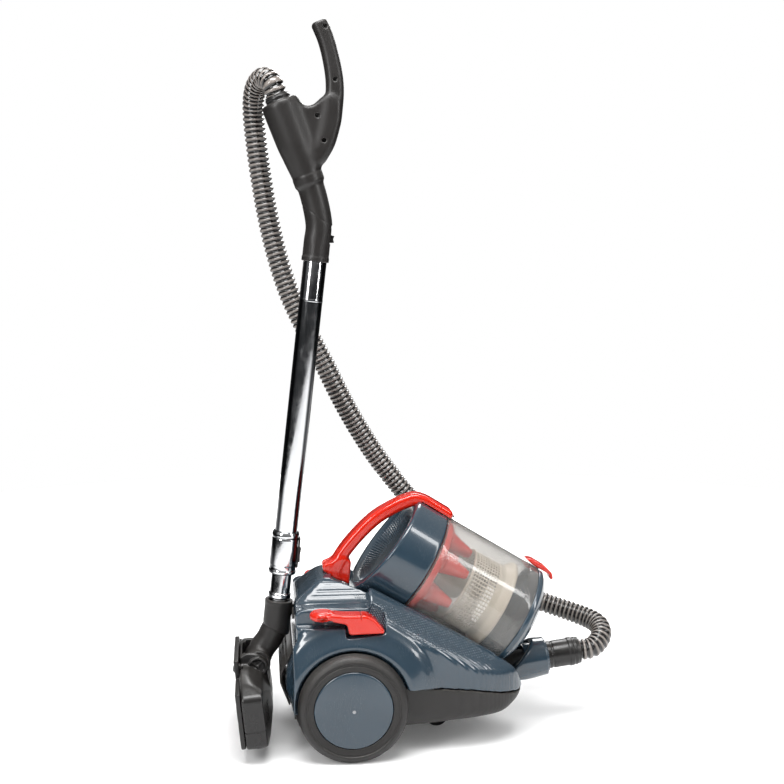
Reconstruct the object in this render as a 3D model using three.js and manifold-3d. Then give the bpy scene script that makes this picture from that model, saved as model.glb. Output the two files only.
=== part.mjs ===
// Canister vacuum cleaner with a cyclone dust bin, parked upright on its own wand and floor head.
// Millimetres. +X is the front of the canister, +Y its left side, +Z up.
import * as THREE from "three";
import { mergeVertices } from "three/addons/utils/BufferGeometryUtils.js";
import Module from "manifold-3d";

const wasm = await Module();
wasm.setup();

// ---------------------------------------------------------------- driving dimensions

// Clearances and walls.
const FIT_GAP = 0.4; // between pieces that are fixed to each other
const RUNNING_GAP = 1.0; // between pieces that move past each other
const WALL = 2.6; // wall of the moulded housings

// Rear wheels. Their axles lie at X = 0.
const WHEEL_RADIUS = 78.5;
const WHEEL_WIDTH = 28;
const HUB_RADIUS = 56;
const AXLE_RADIUS = 5;
const WELL_GAP = 2; // tyre to the flared lip over it

// Canister body.
const BODY_REAR = -98;
const BODY_FRONT = 264;
const BODY_HALF = 112; // half of the body's width
const BODY_FLOOR = 34; // height of the underside
const BODY_TOP = 247; // top of the rear hump
const PONTOON_TOP = 213; // top of the shoulders over the wheels
const CRADLE_SIDES = 32; // facets of the trough that the bin lies in
const SIDE_GAP = 2; // body's side to the wheel's inner face
const LIP_FLARE = 13; // how far the lip over a wheel stands out
const SECTION_JOINT = 26; // X where the rear section hands over to the front section

// Front caster.
const CASTER_X = 150;
const CASTER_RADIUS = 17;
const CASTER_WIDTH = 16;
const CASTER_TRAIL = 14;
const CASTER_STEM = 5;

// Foot pedals: a round pad on an arm, one over each wheel.
const PEDAL_INNER = BODY_HALF - 14;
const PEDAL_WIDTH = 28;
const PEDAL_PIVOT_X = 38;
const PEDAL_PIVOT_Z = 190;
const PAD_X = -43;
const PAD_RADIUS = 17.5;

// Motor and cord reel, side by side across the body.
const MOTOR_X = 24;
const MOTOR_Z = 100;
const MOTOR_RADIUS = 50;
const MOTOR_FACE = 84; // outer face of the motor's fan housing, from the middle
const REEL_X = 6;
const REEL_Z = 104;
const REEL_RADIUS = 58;
const REEL_AXLE = 6;
const CORD_OUTLET_RADIUS = 7;

// Dust bin. Distances s run down the slope from where the lid meets the clear part.
const BIN_SLOPE = THREE.MathUtils.degToRad(31);
const BIN_RADIUS = 82;
const BIN_WALL = 2.4;
const BIN_LENGTH = 160; // clear part
const BIN_JOINT_X = 108.8;
const BIN_JOINT_Z = 253.7;
const LID_TOP = 52; // length of the lid along its top
const LID_BOTTOM = 74;
const LID_LIP = 2; // lid's radius over the clear part's
const CAP_DOME = 26;
const CONES = 6;
const CORE_RADIUS = 28;
const SHROUD_RADIUS = 58;

// Carrying handle and its button.
const HANDLE_WIDTH = 34;
const HANDLE_THICK = 19;
const BUTTON_TRAVEL = 3;

// Hose socket, duct to the bin, and the connector at the hose's end.
const INLET_X = 306; // face of the hose socket
const INLET_Z = 103;
const INLET_RISE = THREE.MathUtils.degToRad(7.6);
const CONNECTOR_RADIUS = 20.5;
const COLLAR_OUTER = CONNECTOR_RADIUS + 3.5;
const CONNECTOR_LENGTH = 51;
const DUCT_RADIUS = 16;
const DUCT_STEPS = 9;
const DUCT_S = 112; // where the duct enters the bin
const GRILLE_THICK = 3;
const BRACKET_Z = 176; // underside of the bracket that the wand hangs in

// Wand. Distances along it run from the neck's rim.
const WAND_LEAN = THREE.MathUtils.degToRad(6.5);
const NECK_X = -101.4; // middle of the neck's top rim
const NECK_Z = 203;
const NECK_OUTER = 20;
const OUTER_TUBE_RADIUS = 17;
const INNER_TUBE_RADIUS = 15;
const TUBE_WALL = 1.2;
const COLLAR_START = 41;
const COLLAR_END = 105;
const OUTER_TUBE_END = 506;
const INNER_TUBE_LENGTH = 455;
const INNER_TUBE_START = -30;

// Hose handle.
const SLEEVE_RADIUS = 19.6;
const SOCKET_BACK = 49.8; // from the wand's upper end back to the mouth of the hose socket
const SOCKET_RISE = 224.8;
const SOCKET_TILT = THREE.MathUtils.degToRad(20.7);
const CUFF_RADIUS = 19;
const GRIP_WIDTH = 30;
const GRIP_THICK = 25;

// Floor head, from its pivot.
const HEAD_WIDTH = 264;
const HEAD_X = -134;
const HEAD_Z = 113;
const HEAD_TILT = THREE.MathUtils.degToRad(-6);
const HEAD_PIN_RADIUS = 6;
const HEAD_LOW = -92;
const HEAD_HIGH = 4;
const SOLE_X = -26; // the sole's inner face
const SOLE_THICK = 7;
const ROLLER_RADIUS = 6.5;
const ROLLER_SIDES = [-1, 1];

// Hose.
const HOSE_RADIUS = 16;
const HOSE_STEPS = 28;

// Worked out from the values above.
const WELL_RADIUS = WHEEL_RADIUS + WELL_GAP;
const WHEEL_INNER = BODY_HALF + SIDE_GAP;
const LIP_OUTER = WHEEL_INNER + LIP_FLARE;
const CONNECTOR_BORE = CONNECTOR_RADIUS + RUNNING_GAP;
const LID_RADIUS = BIN_RADIUS + LID_LIP;
const WAND_END_X = NECK_X + OUTER_TUBE_END * Math.sin(WAND_LEAN);
const WAND_END_Z = NECK_Z + OUTER_TUBE_END * Math.cos(WAND_LEAN);
const SOCKET_X = WAND_END_X - SOCKET_BACK;
const SOCKET_Z = WAND_END_Z + SOCKET_RISE;

// ---------------------------------------------------------------- shapes

const vector = (x, y, z) => new THREE.Vector3(x, y, z);

// A closed geometry as a solid, with its faces turned outwards.
function solid(geometry, frame) {
  if (frame) geometry.applyMatrix4(frame);
  const bare = geometry.index ? geometry.toNonIndexed() : geometry;
  const points = new THREE.BufferGeometry().setAttribute("position", bare.getAttribute("position"));
  const merged = mergeVertices(points, 1e-4);
  const faces = [];
  const index = merged.index.array;
  for (let i = 0; i < index.length; i += 3) {
    const [a, b, c] = [index[i], index[i + 1], index[i + 2]];
    if (a !== b && b !== c && c !== a) faces.push(a, b, c);
  }
  const vertProperties = merged.attributes.position.array;
  const make = (list) =>
    new wasm.Manifold(new wasm.Mesh({ numProp: 3, vertProperties, triVerts: new Uint32Array(list) }));
  const made = make(faces);
  return made.volume() < 0 ? make(faces.toReversed()) : made;
}

const join = (first, ...others) => others.reduce((whole, piece) => whole.add(piece), first);
const cut = (first, ...tools) => tools.reduce((whole, tool) => whole.subtract(tool), first);

// A frame whose local Z points along axis.
function frameAt(origin, axis) {
  const turn = new THREE.Quaternion().setFromUnitVectors(vector(0, 0, 1), axis.clone().normalize());
  return new THREE.Matrix4().compose(origin, turn, vector(1, 1, 1));
}

function block([x0, x1], [y0, y1], [z0, z1], frame) {
  const geometry = new THREE.BoxGeometry(x1 - x0, y1 - y0, z1 - z0);
  geometry.translate((x0 + x1) / 2, (y0 + y1) / 2, (z0 + z1) / 2);
  return solid(geometry, frame);
}

// A profile of [radius, height] pairs turned round local Z.
function turned(profile, sides, frame) {
  const geometry = new THREE.LatheGeometry(
    profile.map(([r, z]) => new THREE.Vector2(r, z)),
    sides,
  );
  geometry.rotateX(Math.PI / 2);
  return solid(geometry, frame);
}

const disc = (radius, z0, z1, sides, frame) =>
  turned([[0, z0], [radius, z0], [radius, z1], [0, z1]], sides, frame);

const ring = (inner, outer, z0, z1, sides, frame) =>
  turned([[inner, z0], [outer, z0], [outer, z1], [inner, z1], [inner, z0]], sides, frame);

const planar = (outline) => outline.map(([u, v]) => new THREE.Vector2(u, v));

const extruded = (outline, depth) =>
  new THREE.ExtrudeGeometry(new THREE.Shape(planar(outline)), { depth, bevelEnabled: false });

const alongCurve = (shape, points, steps) =>
  solid(
    new THREE.ExtrudeGeometry(shape, {
      steps,
      bevelEnabled: false,
      extrudePath: new THREE.CatmullRomCurve3(points),
    }),
  );

// An outline in X and Z, from y0 to y1.
function slab(outline, y0, y1, frame) {
  const geometry = extruded(outline, y1 - y0);
  geometry.rotateX(Math.PI / 2);
  geometry.translate(0, y1, 0);
  return solid(geometry, frame);
}

// An outline in X and Y, from z0 to z1.
function plate(outline, z0, z1, frame) {
  const geometry = extruded(outline, z1 - z0);
  geometry.translate(0, 0, z0);
  return solid(geometry, frame);
}

// An outline in Y and Z, from x0 to x1.
function bar(outline, x0, x1, frame) {
  const geometry = extruded(outline, x1 - x0);
  geometry.applyMatrix4(new THREE.Matrix4().makeBasis(vector(0, 1, 0), vector(0, 0, 1), vector(1, 0, 0)));
  geometry.translate(x0, 0, 0);
  return solid(geometry, frame);
}

function circle(radius, sides) {
  return Array.from({ length: sides }, (_, i) => {
    const angle = (2 * Math.PI * i) / sides;
    return [radius * Math.cos(angle), radius * Math.sin(angle)];
  });
}

// A round tube along a curve; inner 0 makes it solid.
function pipe(points, outer, inner, steps, sides) {
  const shape = new THREE.Shape(planar(circle(outer, sides)));
  if (inner > 0) shape.holes = [new THREE.Path(planar(circle(inner, sides)))];
  return alongCurve(shape, points, steps);
}

// A flat bar of the given section along a curve in the plane y = 0.
function strap(points, width, thickness, steps) {
  const w = width / 2;
  const t = thickness / 2;
  const c = thickness / 4;
  const half = [[w - c, -t], [-w + c, -t], [-w, -t + c], [-w, t - c]];
  const section = [...half, ...half.map(([u, v]) => [-u, -v])].toReversed();
  return alongCurve(new THREE.Shape(planar(section)), points, steps);
}

// The outline with each corner rounded to the given radius.
function rounded(outline, radius, steps = 3) {
  const made = [];
  outline.forEach((corner, i) => {
    const here = new THREE.Vector2(...corner);
    const before = new THREE.Vector2(...outline.at(i - 1));
    const after = new THREE.Vector2(...outline[(i + 1) % outline.length]);
    const reach = Math.min(radius, here.distanceTo(before) / 2.1, here.distanceTo(after) / 2.1);
    const from = here.clone().add(before.sub(here).setLength(reach));
    const to = here.clone().add(after.sub(here).setLength(reach));
    const bend = new THREE.QuadraticBezierCurve(from, here, to);
    made.push(...bend.getPoints(steps).map((p) => [p.x, p.y]));
  });
  return made;
}

// The outline, counter-clockwise, moved inwards by the given distance.
function inset(outline, distance) {
  return outline.map((corner, i) => {
    const here = new THREE.Vector2(...corner);
    const along = here.clone().sub(new THREE.Vector2(...outline.at(i - 1))).normalize();
    const next = new THREE.Vector2(...outline[(i + 1) % outline.length]).sub(here).normalize();
    const normal = new THREE.Vector2(-along.y - next.y, along.x + next.x).normalize();
    const share = Math.max(0.35, normal.dot(new THREE.Vector2(-along.y, along.x)));
    return [here.x + (normal.x * distance) / share, here.y + (normal.y * distance) / share];
  });
}

// ---------------------------------------------------------------- frames of the sub-assemblies

// Bin: local X runs down the bin towards the cap, local Z stands square on it.
const BIN = new THREE.Matrix4().compose(
  vector(BIN_JOINT_X, 0, BIN_JOINT_Z),
  new THREE.Quaternion().setFromAxisAngle(vector(0, 1, 0), BIN_SLOPE),
  vector(1, 1, 1),
);
// The same, with local Z running down the bin, for turned shapes.
const BIN_AXIS = BIN.clone().multiply(new THREE.Matrix4().makeBasis(vector(0, 0, -1), vector(0, 1, 0),
  vector(1, 0, 0)));
const WAND = new THREE.Matrix4().compose(
  vector(NECK_X, 0, NECK_Z),
  new THREE.Quaternion().setFromAxisAngle(vector(0, 1, 0), WAND_LEAN),
  vector(1, 1, 1),
);
const INLET = frameAt(vector(INLET_X, 0, INLET_Z), vector(Math.cos(INLET_RISE), 0, Math.sin(INLET_RISE)));
const acrossAt = (x, z) => frameAt(vector(x, 0, z), vector(0, 1, 0));
const WHEEL_AXIS = acrossAt(0, WHEEL_RADIUS);
const MOTOR = acrossAt(MOTOR_X, MOTOR_Z);
const REEL = acrossAt(REEL_X, REEL_Z);
const CORD_OUTLET = frameAt(vector(BODY_REAR + 19, -84, 56), vector(-1, 0, 0));
const CASTER = frameAt(vector(CASTER_X, 0, BODY_FLOOR + 9), vector(0, 0, 1));
const SOCKET = frameAt(
  vector(SOCKET_X, 0, SOCKET_Z),
  vector(-Math.sin(SOCKET_TILT), 0, Math.cos(SOCKET_TILT)),
);
const HEAD_PIVOT = acrossAt(HEAD_X, HEAD_Z);
// Head: local X square to the sole, local Z up along it.
const HEAD = new THREE.Matrix4().compose(
  vector(HEAD_X, 0, HEAD_Z),
  new THREE.Quaternion().setFromAxisAngle(vector(0, 1, 0), HEAD_TILT),
  vector(1, 1, 1),
);

const binPoint = (s, n) => vector(s, 0, n).applyMatrix4(BIN);
const wandPoint = (s) => vector(0, 0, s).applyMatrix4(WAND);

// ---------------------------------------------------------------- materials

const finish = (color, roughness, metalness = 0) =>
  new THREE.MeshStandardMaterial({ color: new THREE.Color(color), roughness, metalness });
const SLATE = finish("#425768", 0.28);
const BLACK = finish("#2b2a2a", 0.55);
const DARK = finish("#1c1c1d", 0.4);
const RED = finish("#d8210f", 0.25);
const CHROME = finish("#d5d8db", 0.12, 1);
const STEEL = finish("#9a9c9f", 0.35, 1);
const CLEAR = new THREE.MeshStandardMaterial({ color: "#cfc9c0", roughness: 0.08, transparent: true,
  opacity: 0.4 });
const GREY = finish("#a8a49b", 0.5);
const RUBBER = finish("#343231", 0.8);
const FELT = finish("#e9e6df", 0.95);
const FLOCK = finish("#b82018", 0.95);

const vacuum = new THREE.Group();

// Puts a solid into the assembly as one named mesh.
function add(name, body, material) {
  const { vertProperties, triVerts, numProp } = body.getMesh();
  const geometry = new THREE.BufferGeometry();
  const count = vertProperties.length / numProp;
  const position = new Float32Array(count * 3);
  for (let i = 0; i < count; i++) position.set(vertProperties.subarray(i * numProp, i * numProp + 3),
    i * 3);
  geometry.setAttribute("position", new THREE.BufferAttribute(position, 3));
  geometry.setIndex(new THREE.BufferAttribute(triVerts, 1));
  const mesh = new THREE.Mesh(geometry, material);
  mesh.name = name;
  vacuum.add(mesh);
}

// ---------------------------------------------------------------- canister body

// Outline of the body from the side.
function sideOutline() {
  const corners = [
    [BODY_REAR + 26, BODY_FLOOR],
    [BODY_FRONT - 41, BODY_FLOOR + 12],
    [BODY_FRONT - 10, BODY_FLOOR + 28],
    [BODY_FRONT, BODY_FLOOR + 46],
    [BODY_FRONT - 12, BODY_FLOOR + 80],
    [BODY_FRONT - 33, BODY_FLOOR + 98],
    [24, BODY_TOP - 6],
    [-40, BODY_TOP],
    [BODY_REAR + 18, PONTOON_TOP],
    [BODY_REAR + 17, BODY_FLOOR + 116],
    [BODY_REAR + 2, BODY_FLOOR + 84],
    [BODY_REAR, BODY_FLOOR + 66],
    [BODY_REAR + 16, BODY_FLOOR + 24],
  ];
  return rounded(corners, 9, 2);
}

// Outline of the body from above.
function planOutline() {
  const half = [
    [BODY_REAR - 1, 0],
    [BODY_REAR - 1, BODY_HALF - 22],
    [BODY_REAR + 14, BODY_HALF - 3],
    [BODY_REAR + 40, BODY_HALF],
    [118, BODY_HALF],
    [BODY_FRONT - 70, BODY_HALF - 11],
    [BODY_FRONT - 24, BODY_HALF - 30],
    [BODY_FRONT + 1, BODY_HALF - 64],
    [BODY_FRONT + 3, 0],
  ].map(([x, y]) => [x, -y]);
  const corners = [...half, ...half.slice(1, -1).toReversed().map(([x, y]) => [x, -y])];
  return rounded(corners, 26, 2);
}

// Section of the front part, square to the bin: ridges beside the bin, then a bevel to each side.
function frontSection() {
  const half = [[40, -300], [BODY_HALF + 1, -300], [BODY_HALF + 1, -84], [BODY_HALF - 4, -78],
    [78, -51], [40, -44]];
  return [...half, ...half.toReversed().map(([y, z]) => [-y, z])];
}

// Section of the rear part: a hump in the middle and a pontoon over each wheel.
function rearSection() {
  const half = [
    [30, 0],
    [BODY_HALF + 1, 0],
    [BODY_HALF + 1, PONTOON_TOP - 10],
    [BODY_HALF - 10, PONTOON_TOP],
    [66, PONTOON_TOP + 2],
    [48, BODY_TOP - 6],
    [40, BODY_TOP + 1],
    [30, BODY_TOP + 4],
  ];
  return [...half, ...half.toReversed().map(([y, z]) => [-y, z])];
}

function bodyShape(thickness) {
  const side = slab(inset(sideOutline(), thickness), -BODY_HALF - 1, BODY_HALF + 1);
  const plan = plate(inset(planOutline(), thickness), -1, BODY_TOP + 10);
  const rear = bar(inset(rearSection(), thickness), BODY_REAR - 10, SECTION_JOINT + 0.01);
  const front = bar(inset(frontSection(), thickness), -400, 400, BIN);
  const cast = front.intersect(block([SECTION_JOINT, 400], [-200, 200], [-100, 400]));
  return side.intersect(plan).intersect(rear.add(cast));
}

// The round trough that the bin lies in.
function cradle(extra) {
  const radius = BIN_RADIUS + RUNNING_GAP + 1.5 + extra;
  return join(
    disc(radius, -LID_BOTTOM - 34, BIN_LENGTH + 8, CRADLE_SIDES, BIN_AXIS),
    disc(radius + 3, -LID_BOTTOM - 34, RUNNING_GAP + 1, CRADLE_SIDES, BIN_AXIS),
    disc(radius + 5, BIN_LENGTH - 8 - extra, BIN_LENGTH + 90, CRADLE_SIDES, BIN_AXIS),
  );
}

// Flared lip over a wheel, on the side given by side (-1 right, 1 left).
function wheelLip(side) {
  const y = BODY_HALF - WALL;
  const profile = [
    [WELL_RADIUS, y],
    [WELL_RADIUS + 40, y],
    [WELL_RADIUS + 32, BODY_HALF + 5],
    [WELL_RADIUS + 7, LIP_OUTER],
    [WELL_RADIUS, LIP_OUTER],
    [WELL_RADIUS, y],
  ];
  const whole = turned(profile.map(([r, z]) => [r, z * side]), 32, WHEEL_AXIS);
  const upper = slab([[BODY_REAR + 14, 66], [60, 97], [150, 97], [150, 230], [BODY_REAR + 14, 230]],
    -200, 200);
  return whole.intersect(upper);
}

// Room for a pedal in the top of a pontoon.
function pedalNotch(side) {
  const outline = [[-150, 190], [-9, 190], [-9, 177], [47, 181], [47, 260], [-150, 260]];
  const [near, far] = [PEDAL_INNER, 200];
  const middle = side * (near + RUNNING_GAP + PEDAL_WIDTH / 2);
  const padRoom = disc(PAD_RADIUS + RUNNING_GAP, 190, 260, 20,
    frameAt(vector(PAD_X, middle, 0), vector(0, 0, 1)));
  return join(side < 0 ? slab(outline, -far, -near) : slab(outline, near, far), padRoom);
}

// The space over the hump that the carrying handle's foot fills, made deeper and wider by extra.
function handleSeat(extra) {
  const half = HANDLE_WIDTH / 2 + RUNNING_GAP + extra;
  const line = [[-60, 259], [-37, 246.5], [6, 222.6], [40, 203]].map(([x, z]) => [x, z - 1.5 * extra]);
  return slab([...line, [60, 300], [-60, 300]], -half, half);
}

// The line where the upper and the lower housing meet, as the outline of all that lies below it.
function lowerOutline(shift) {
  const line = [[-160, 62], [-62, 64], [-40, 99], [80, 99], [126, 95], [174, 89], [221, 79], [268, 72],
    [330, 70]];
  return [[-160, -50], [330, -50], ...line.toReversed().map(([x, z]) => [x, z + shift])];
}

function ductPath() {
  const mouth = binPoint(DUCT_S, -BIN_RADIUS - RUNNING_GAP);
  const below = binPoint(DUCT_S + 3, -BIN_RADIUS - 30);
  const low = BODY_FLOOR + 37;
  return [
    vector(0, 0, -22).applyMatrix4(INLET),
    vector(0, 0, -40).applyMatrix4(INLET),
    vector(BODY_FRONT - 24, 0, low + 14),
    vector(BODY_FRONT - 52, 0, low + 1),
    vector(BODY_FRONT - 82, 0, low),
    vector(below.x + 10, 0, below.z - 18),
    below,
    mouth,
  ];
}

function housings() {
  const outer = bodyShape(0);
  const hollow = cut(bodyShape(WALL), cradle(WALL), handleSeat(WALL));
  const shell = cut(outer, hollow, cradle(0), handleSeat(0));
  const ductHole = join(
    pipe(ductPath(), DUCT_RADIUS + RUNNING_GAP, 0, DUCT_STEPS, 12),
    disc(DUCT_RADIUS + RUNNING_GAP, -BIN_RADIUS - 12, -40, 24, ductFrame()),
  );
  const noseHole = disc(COLLAR_OUTER + FIT_GAP, -47, 20, 24, INLET);
  const below = slab(lowerOutline(-FIT_GAP / 2), -300, 300);
  const above = slab(lowerOutline(FIT_GAP / 2), -300, 300);
  const pedalRoom = [pedalNotch(-1), pedalNotch(1)];
  const exhaust = block([BODY_REAR - 5, BODY_REAR + 30], [-62, 62], [BODY_FLOOR + 44, BODY_FLOOR + 96]);
  const axleHoles = disc(AXLE_RADIUS + FIT_GAP, -300, 300, 20, WHEEL_AXIS);
  const casterHole = disc(CASTER_STEM + RUNNING_GAP, -10, 90, 20, CASTER);
  const cordHole = disc(CORD_OUTLET_RADIUS + FIT_GAP, -20, 20, 20, CORD_OUTLET);

  const lipped = join(shell, wheelLip(-1), wheelLip(1));
  const floors = pedalRoom.map((room) => pedalFloor(room, outer));
  const upper = cut(join(cut(lipped, ...pedalRoom), ...floors), above, ductHole, noseHole, exhaust,
    bracketSocket());
  add("upper_housing", upper, SLATE);

  const bosses = [-1, 1].map((side) => {
    const span = [BODY_HALF - 22, BODY_HALF - 1].map((y) => y * side).sort((a, b) => a - b);
    return disc(AXLE_RADIUS + 7, span[0], span[1], 24, WHEEL_AXIS);
  });
  const webs = [-1, 1].map((side) => {
    const span = [BODY_HALF - 16, BODY_HALF - 8].map((y) => y * side).sort((a, b) => a - b);
    return block([-4, 4], span, [BODY_FLOOR + 1, WHEEL_RADIUS - AXLE_RADIUS - 1]);
  });
  const casterBoss = ring(CASTER_STEM + RUNNING_GAP, CASTER_STEM + 7, 0.5, 16, 24, CASTER);
  const base = cut(join(cut(outer, hollow).intersect(below), ...bosses, ...webs, casterBoss), noseHole,
    exhaust);
  add("lower_housing", cut(base, axleHoles, casterHole, casterRoom(), cordHole, cradle(0), ductHole),
    BLACK);
}

// The skin that closes a pedal's notch towards the inside of the body.
function pedalFloor(room, outer) {
  const inward = -WALL * Math.sign(room.boundingBox().min[1]);
  const shifts = [[0, 0, -WALL], [0, inward, 0], [0, inward, -WALL], [WALL, 0, 0], [WALL, inward, -WALL]];
  const grown = shifts.map((shift) => room.translate(shift));
  return join(...grown).intersect(outer).subtract(room);
}

const ductFrame = () => {
  const mouth = binPoint(DUCT_S, 0);
  return frameAt(mouth, binPoint(DUCT_S, 1).sub(mouth));
};

// ---------------------------------------------------------------- inside the body

function motorAndFan() {
  const inner = MOTOR_RADIUS - 4;
  const profile = [
    [7, 0], [30, 0], [38, 6], [38, 52], [MOTOR_RADIUS, 54], [MOTOR_RADIUS, MOTOR_FACE],
    [22, MOTOR_FACE], [22, MOTOR_FACE - 3], [inner, MOTOR_FACE - 3], [inner, 58], [7, 58], [7, 0],
  ];
  add("motor", turned(profile, 24, MOTOR), STEEL);
  const backplate = ring(4, inner - 2, 61, 63.5, 28, MOTOR);
  const vanes = Array.from({ length: 8 }, (_, i) => {
    const turn = new THREE.Matrix4().makeRotationZ((i * Math.PI) / 4);
    return block([15, inner - 3], [-1, 1], [63, MOTOR_FACE - 6], MOTOR.clone().multiply(turn));
  });
  const shaft = disc(5.5, -6, 76, 12, MOTOR);
  add("fan", join(backplate, shaft, ...vanes), GREY);
}

function cordReel() {
  const flanges = [-83, -33].map((y) => ring(REEL_AXLE + 0.5, REEL_RADIUS, y, y + 3, 24, REEL));
  const drum = ring(REEL_AXLE + 0.5, 30, -83, -30, 16, REEL);
  add("cord_reel", join(drum, ...flanges), GREY);
  add("reel_axle", join(disc(REEL_AXLE, -85, -24, 12, REEL), disc(11, -28, -24, 12, REEL)), STEEL);
}

function hoseInlet() {
  const profile = [
    [CONNECTOR_BORE, 0], [COLLAR_OUTER, 0], [COLLAR_OUTER, -36], [DUCT_RADIUS + 2, -36],
      [DUCT_RADIUS + 2, -20],
    [CONNECTOR_BORE, -18], [CONNECTOR_BORE, 0],
  ];
  const flange = ring(COLLAR_OUTER - 1, COLLAR_OUTER + 7, -33, -28, 24, INLET);
  const collar = turned(profile, 24, INLET);
  add("hose_inlet", join(collar, cut(flange, bodyShape(-FIT_GAP))), SLATE);
  const duct = pipe(ductPath(), DUCT_RADIUS, DUCT_RADIUS - 2, DUCT_STEPS, 12);
  add("intake_duct", duct, DARK);
}

// Slatted panel over the exhaust at the back.
function rearGrille() {
  const face = [
    [BODY_REAR + 16.4, BODY_FLOOR + 112],
    [BODY_REAR + 1.2, BODY_FLOOR + 82],
    [BODY_REAR - 1, BODY_FLOOR + 66],
    [BODY_REAR + 12, BODY_FLOOR + 32],
  ];
  const shift = (distance) => face.map(([x, z]) => [x - distance, z]);
  const outline = [...shift(FIT_GAP), ...shift(FIT_GAP + GRILLE_THICK).toReversed()];
  const half = BODY_HALF - 38;
  const panel = slab(outline, -half, half);
  const slots = Array.from({ length: 6 }, (_, i) => {
    const z = BODY_FLOOR + 42 + i * 10;
    return block([BODY_REAR - 9, BODY_REAR + 30], [-half + 8, half - 8], [z, z + 5]);
  });
  add("rear_grille", cut(panel, ...slots, bodyShape(-FIT_GAP / 2)), BLACK);
  const filter = block([BODY_REAR + 8, BODY_REAR + 22], [-60, 60], [BODY_FLOOR + 46, BODY_FLOOR + 94]);
  add("exhaust_filter", filter.intersect(bodyShape(WALL + FIT_GAP)), FELT);
}

function cordOutlet() {
  add("cord_outlet", ring(4, CORD_OUTLET_RADIUS, -7, 3, 20, CORD_OUTLET), DARK);
}

function bracketBody(gap) {
  return block([BODY_REAR + 15.5, BODY_REAR + 27], [-13 - gap, 13 + gap],
    [BRACKET_Z - gap, BRACKET_Z + 16 + gap]);
}

const bracketSocket = () => bracketBody(FIT_GAP);

// Slotted bracket on the body that the wand's hook drops into.
function parkBracket() {
  const slot = block([BODY_REAR, BODY_REAR + 24], [-5, 5], [BRACKET_Z + 3, BRACKET_Z + 40]);
  add("park_bracket", cut(bracketBody(0), slot), BLACK);
}

// ---------------------------------------------------------------- wheels

function wheel(name, side) {
  const place = (profile) => turned(profile.map(([r, y]) => [r, y * side]), 32, WHEEL_AXIS);
  const inner = WHEEL_INNER;
  const outer = inner + WHEEL_WIDTH;
  const seat = HUB_RADIUS + FIT_GAP;
  const tyre = [
    [seat, inner + 2], [WHEEL_RADIUS - 9, inner], [WHEEL_RADIUS - 2, inner + 5], [WHEEL_RADIUS, inner + 11],
    [WHEEL_RADIUS, outer - 11], [WHEEL_RADIUS - 3, outer - 4], [WHEEL_RADIUS - 10, outer],
      [seat, outer - 2], [seat, inner + 2],
  ];
  add(`tyre_${name}`, place(tyre), RUBBER);
  const bore = AXLE_RADIUS + 0.3;
  const hub = [
    [bore, inner + 1], [14, inner + 1], [14, outer - 12], [HUB_RADIUS - 5, outer - 12],
      [HUB_RADIUS - 5, inner + 2],
    [HUB_RADIUS, inner + 2], [HUB_RADIUS, outer - 3], [HUB_RADIUS - 4, outer - 1], [20, outer + 3],
      [bore, outer + 3], [bore, inner + 1],
  ];
  add(`hub_${name}`, cut(place(hub), place([[0, outer - 6], [9, outer - 6], [9, outer + 9],
    [0, outer + 9]])), SLATE);
  const axle = [
    [0, BODY_HALF - 25], [AXLE_RADIUS, BODY_HALF - 25], [AXLE_RADIUS, outer - 5], [8, outer - 5],
      [8, outer + 1], [0, outer + 3],
  ];
  add(`axle_${name}`, place(axle), STEEL);
}

// Clear room round the caster as it swivels.
const casterRoom = () => disc(CASTER_RADIUS + CASTER_TRAIL + 4, -60, -0.2, 24, CASTER);

function caster() {
  const half = CASTER_WIDTH / 2;
  const top = CASTER.elements[14] - 1;
  const axle = acrossAt(CASTER_X - CASTER_TRAIL, CASTER_RADIUS);
  const cheek = [[9, top], [9, top - 5], [-CASTER_TRAIL + 5, CASTER_RADIUS - 5],
    [-CASTER_TRAIL - 5, CASTER_RADIUS - 5],
    [-CASTER_TRAIL - 5, top - 8], [-12, top]].map(([x, z]) => [x + CASTER_X, z]);
  const yoke = slab(cheek, -half - 4, half + 4);
  const room = cut(slab(cheek.map(([x, z]) => [x, z - 4]), -half - 0.8, half + 0.8),
    block([CASTER_X - 2, CASTER_X + 30], [-30, 30], [top - 4, 90]));
  const tyreRoom = disc(CASTER_RADIUS + 1.5, -half - 0.8, half + 0.8, 20, axle);
  const stem = disc(CASTER_STEM, -3, 20, 20, CASTER);
  const fork = cut(join(yoke, stem), room, tyreRoom, disc(2.4, -40, 40, 16, axle));
  add("caster_fork", fork, BLACK);
  add("caster_wheel", ring(2.6, CASTER_RADIUS, -half, half, 24, axle), RUBBER);
  add("caster_axle", disc(2, -half - 4, half + 4, 16, axle), STEEL);
}

// ---------------------------------------------------------------- pedals

function pedal(name, side) {
  const near = PEDAL_INNER + RUNNING_GAP;
  const far = near + PEDAL_WIDTH;
  const arm = [[44, 184], [45, 188], [32, 204], [20, 211], [-13, 211.5], [-30, 214], [-30, 203],
    [-8, 198], [-5, 183]];
  const span = side < 0 ? [-far, -near] : [near, far];
  const bodyArm = slab(rounded(arm, 3, 2), ...span);
  const middle = (near + far) / 2;
  const pad = turned(
    [[0, 203], [PAD_RADIUS - 4, 203], [PAD_RADIUS, 207], [PAD_RADIUS, 211], [PAD_RADIUS - 3, 215],
      [0, 216]],
    20,
    frameAt(vector(PAD_X, side * middle, 0), vector(0, 0, 1)),
  );
  const hinge = disc(3, span[0] + 1, span[1] - 1, 16, acrossAt(PEDAL_PIVOT_X, PEDAL_PIVOT_Z));
  add(`pedal_${name}`, join(bodyArm, pad, hinge), RED);
}

// ---------------------------------------------------------------- dust bin

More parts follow.
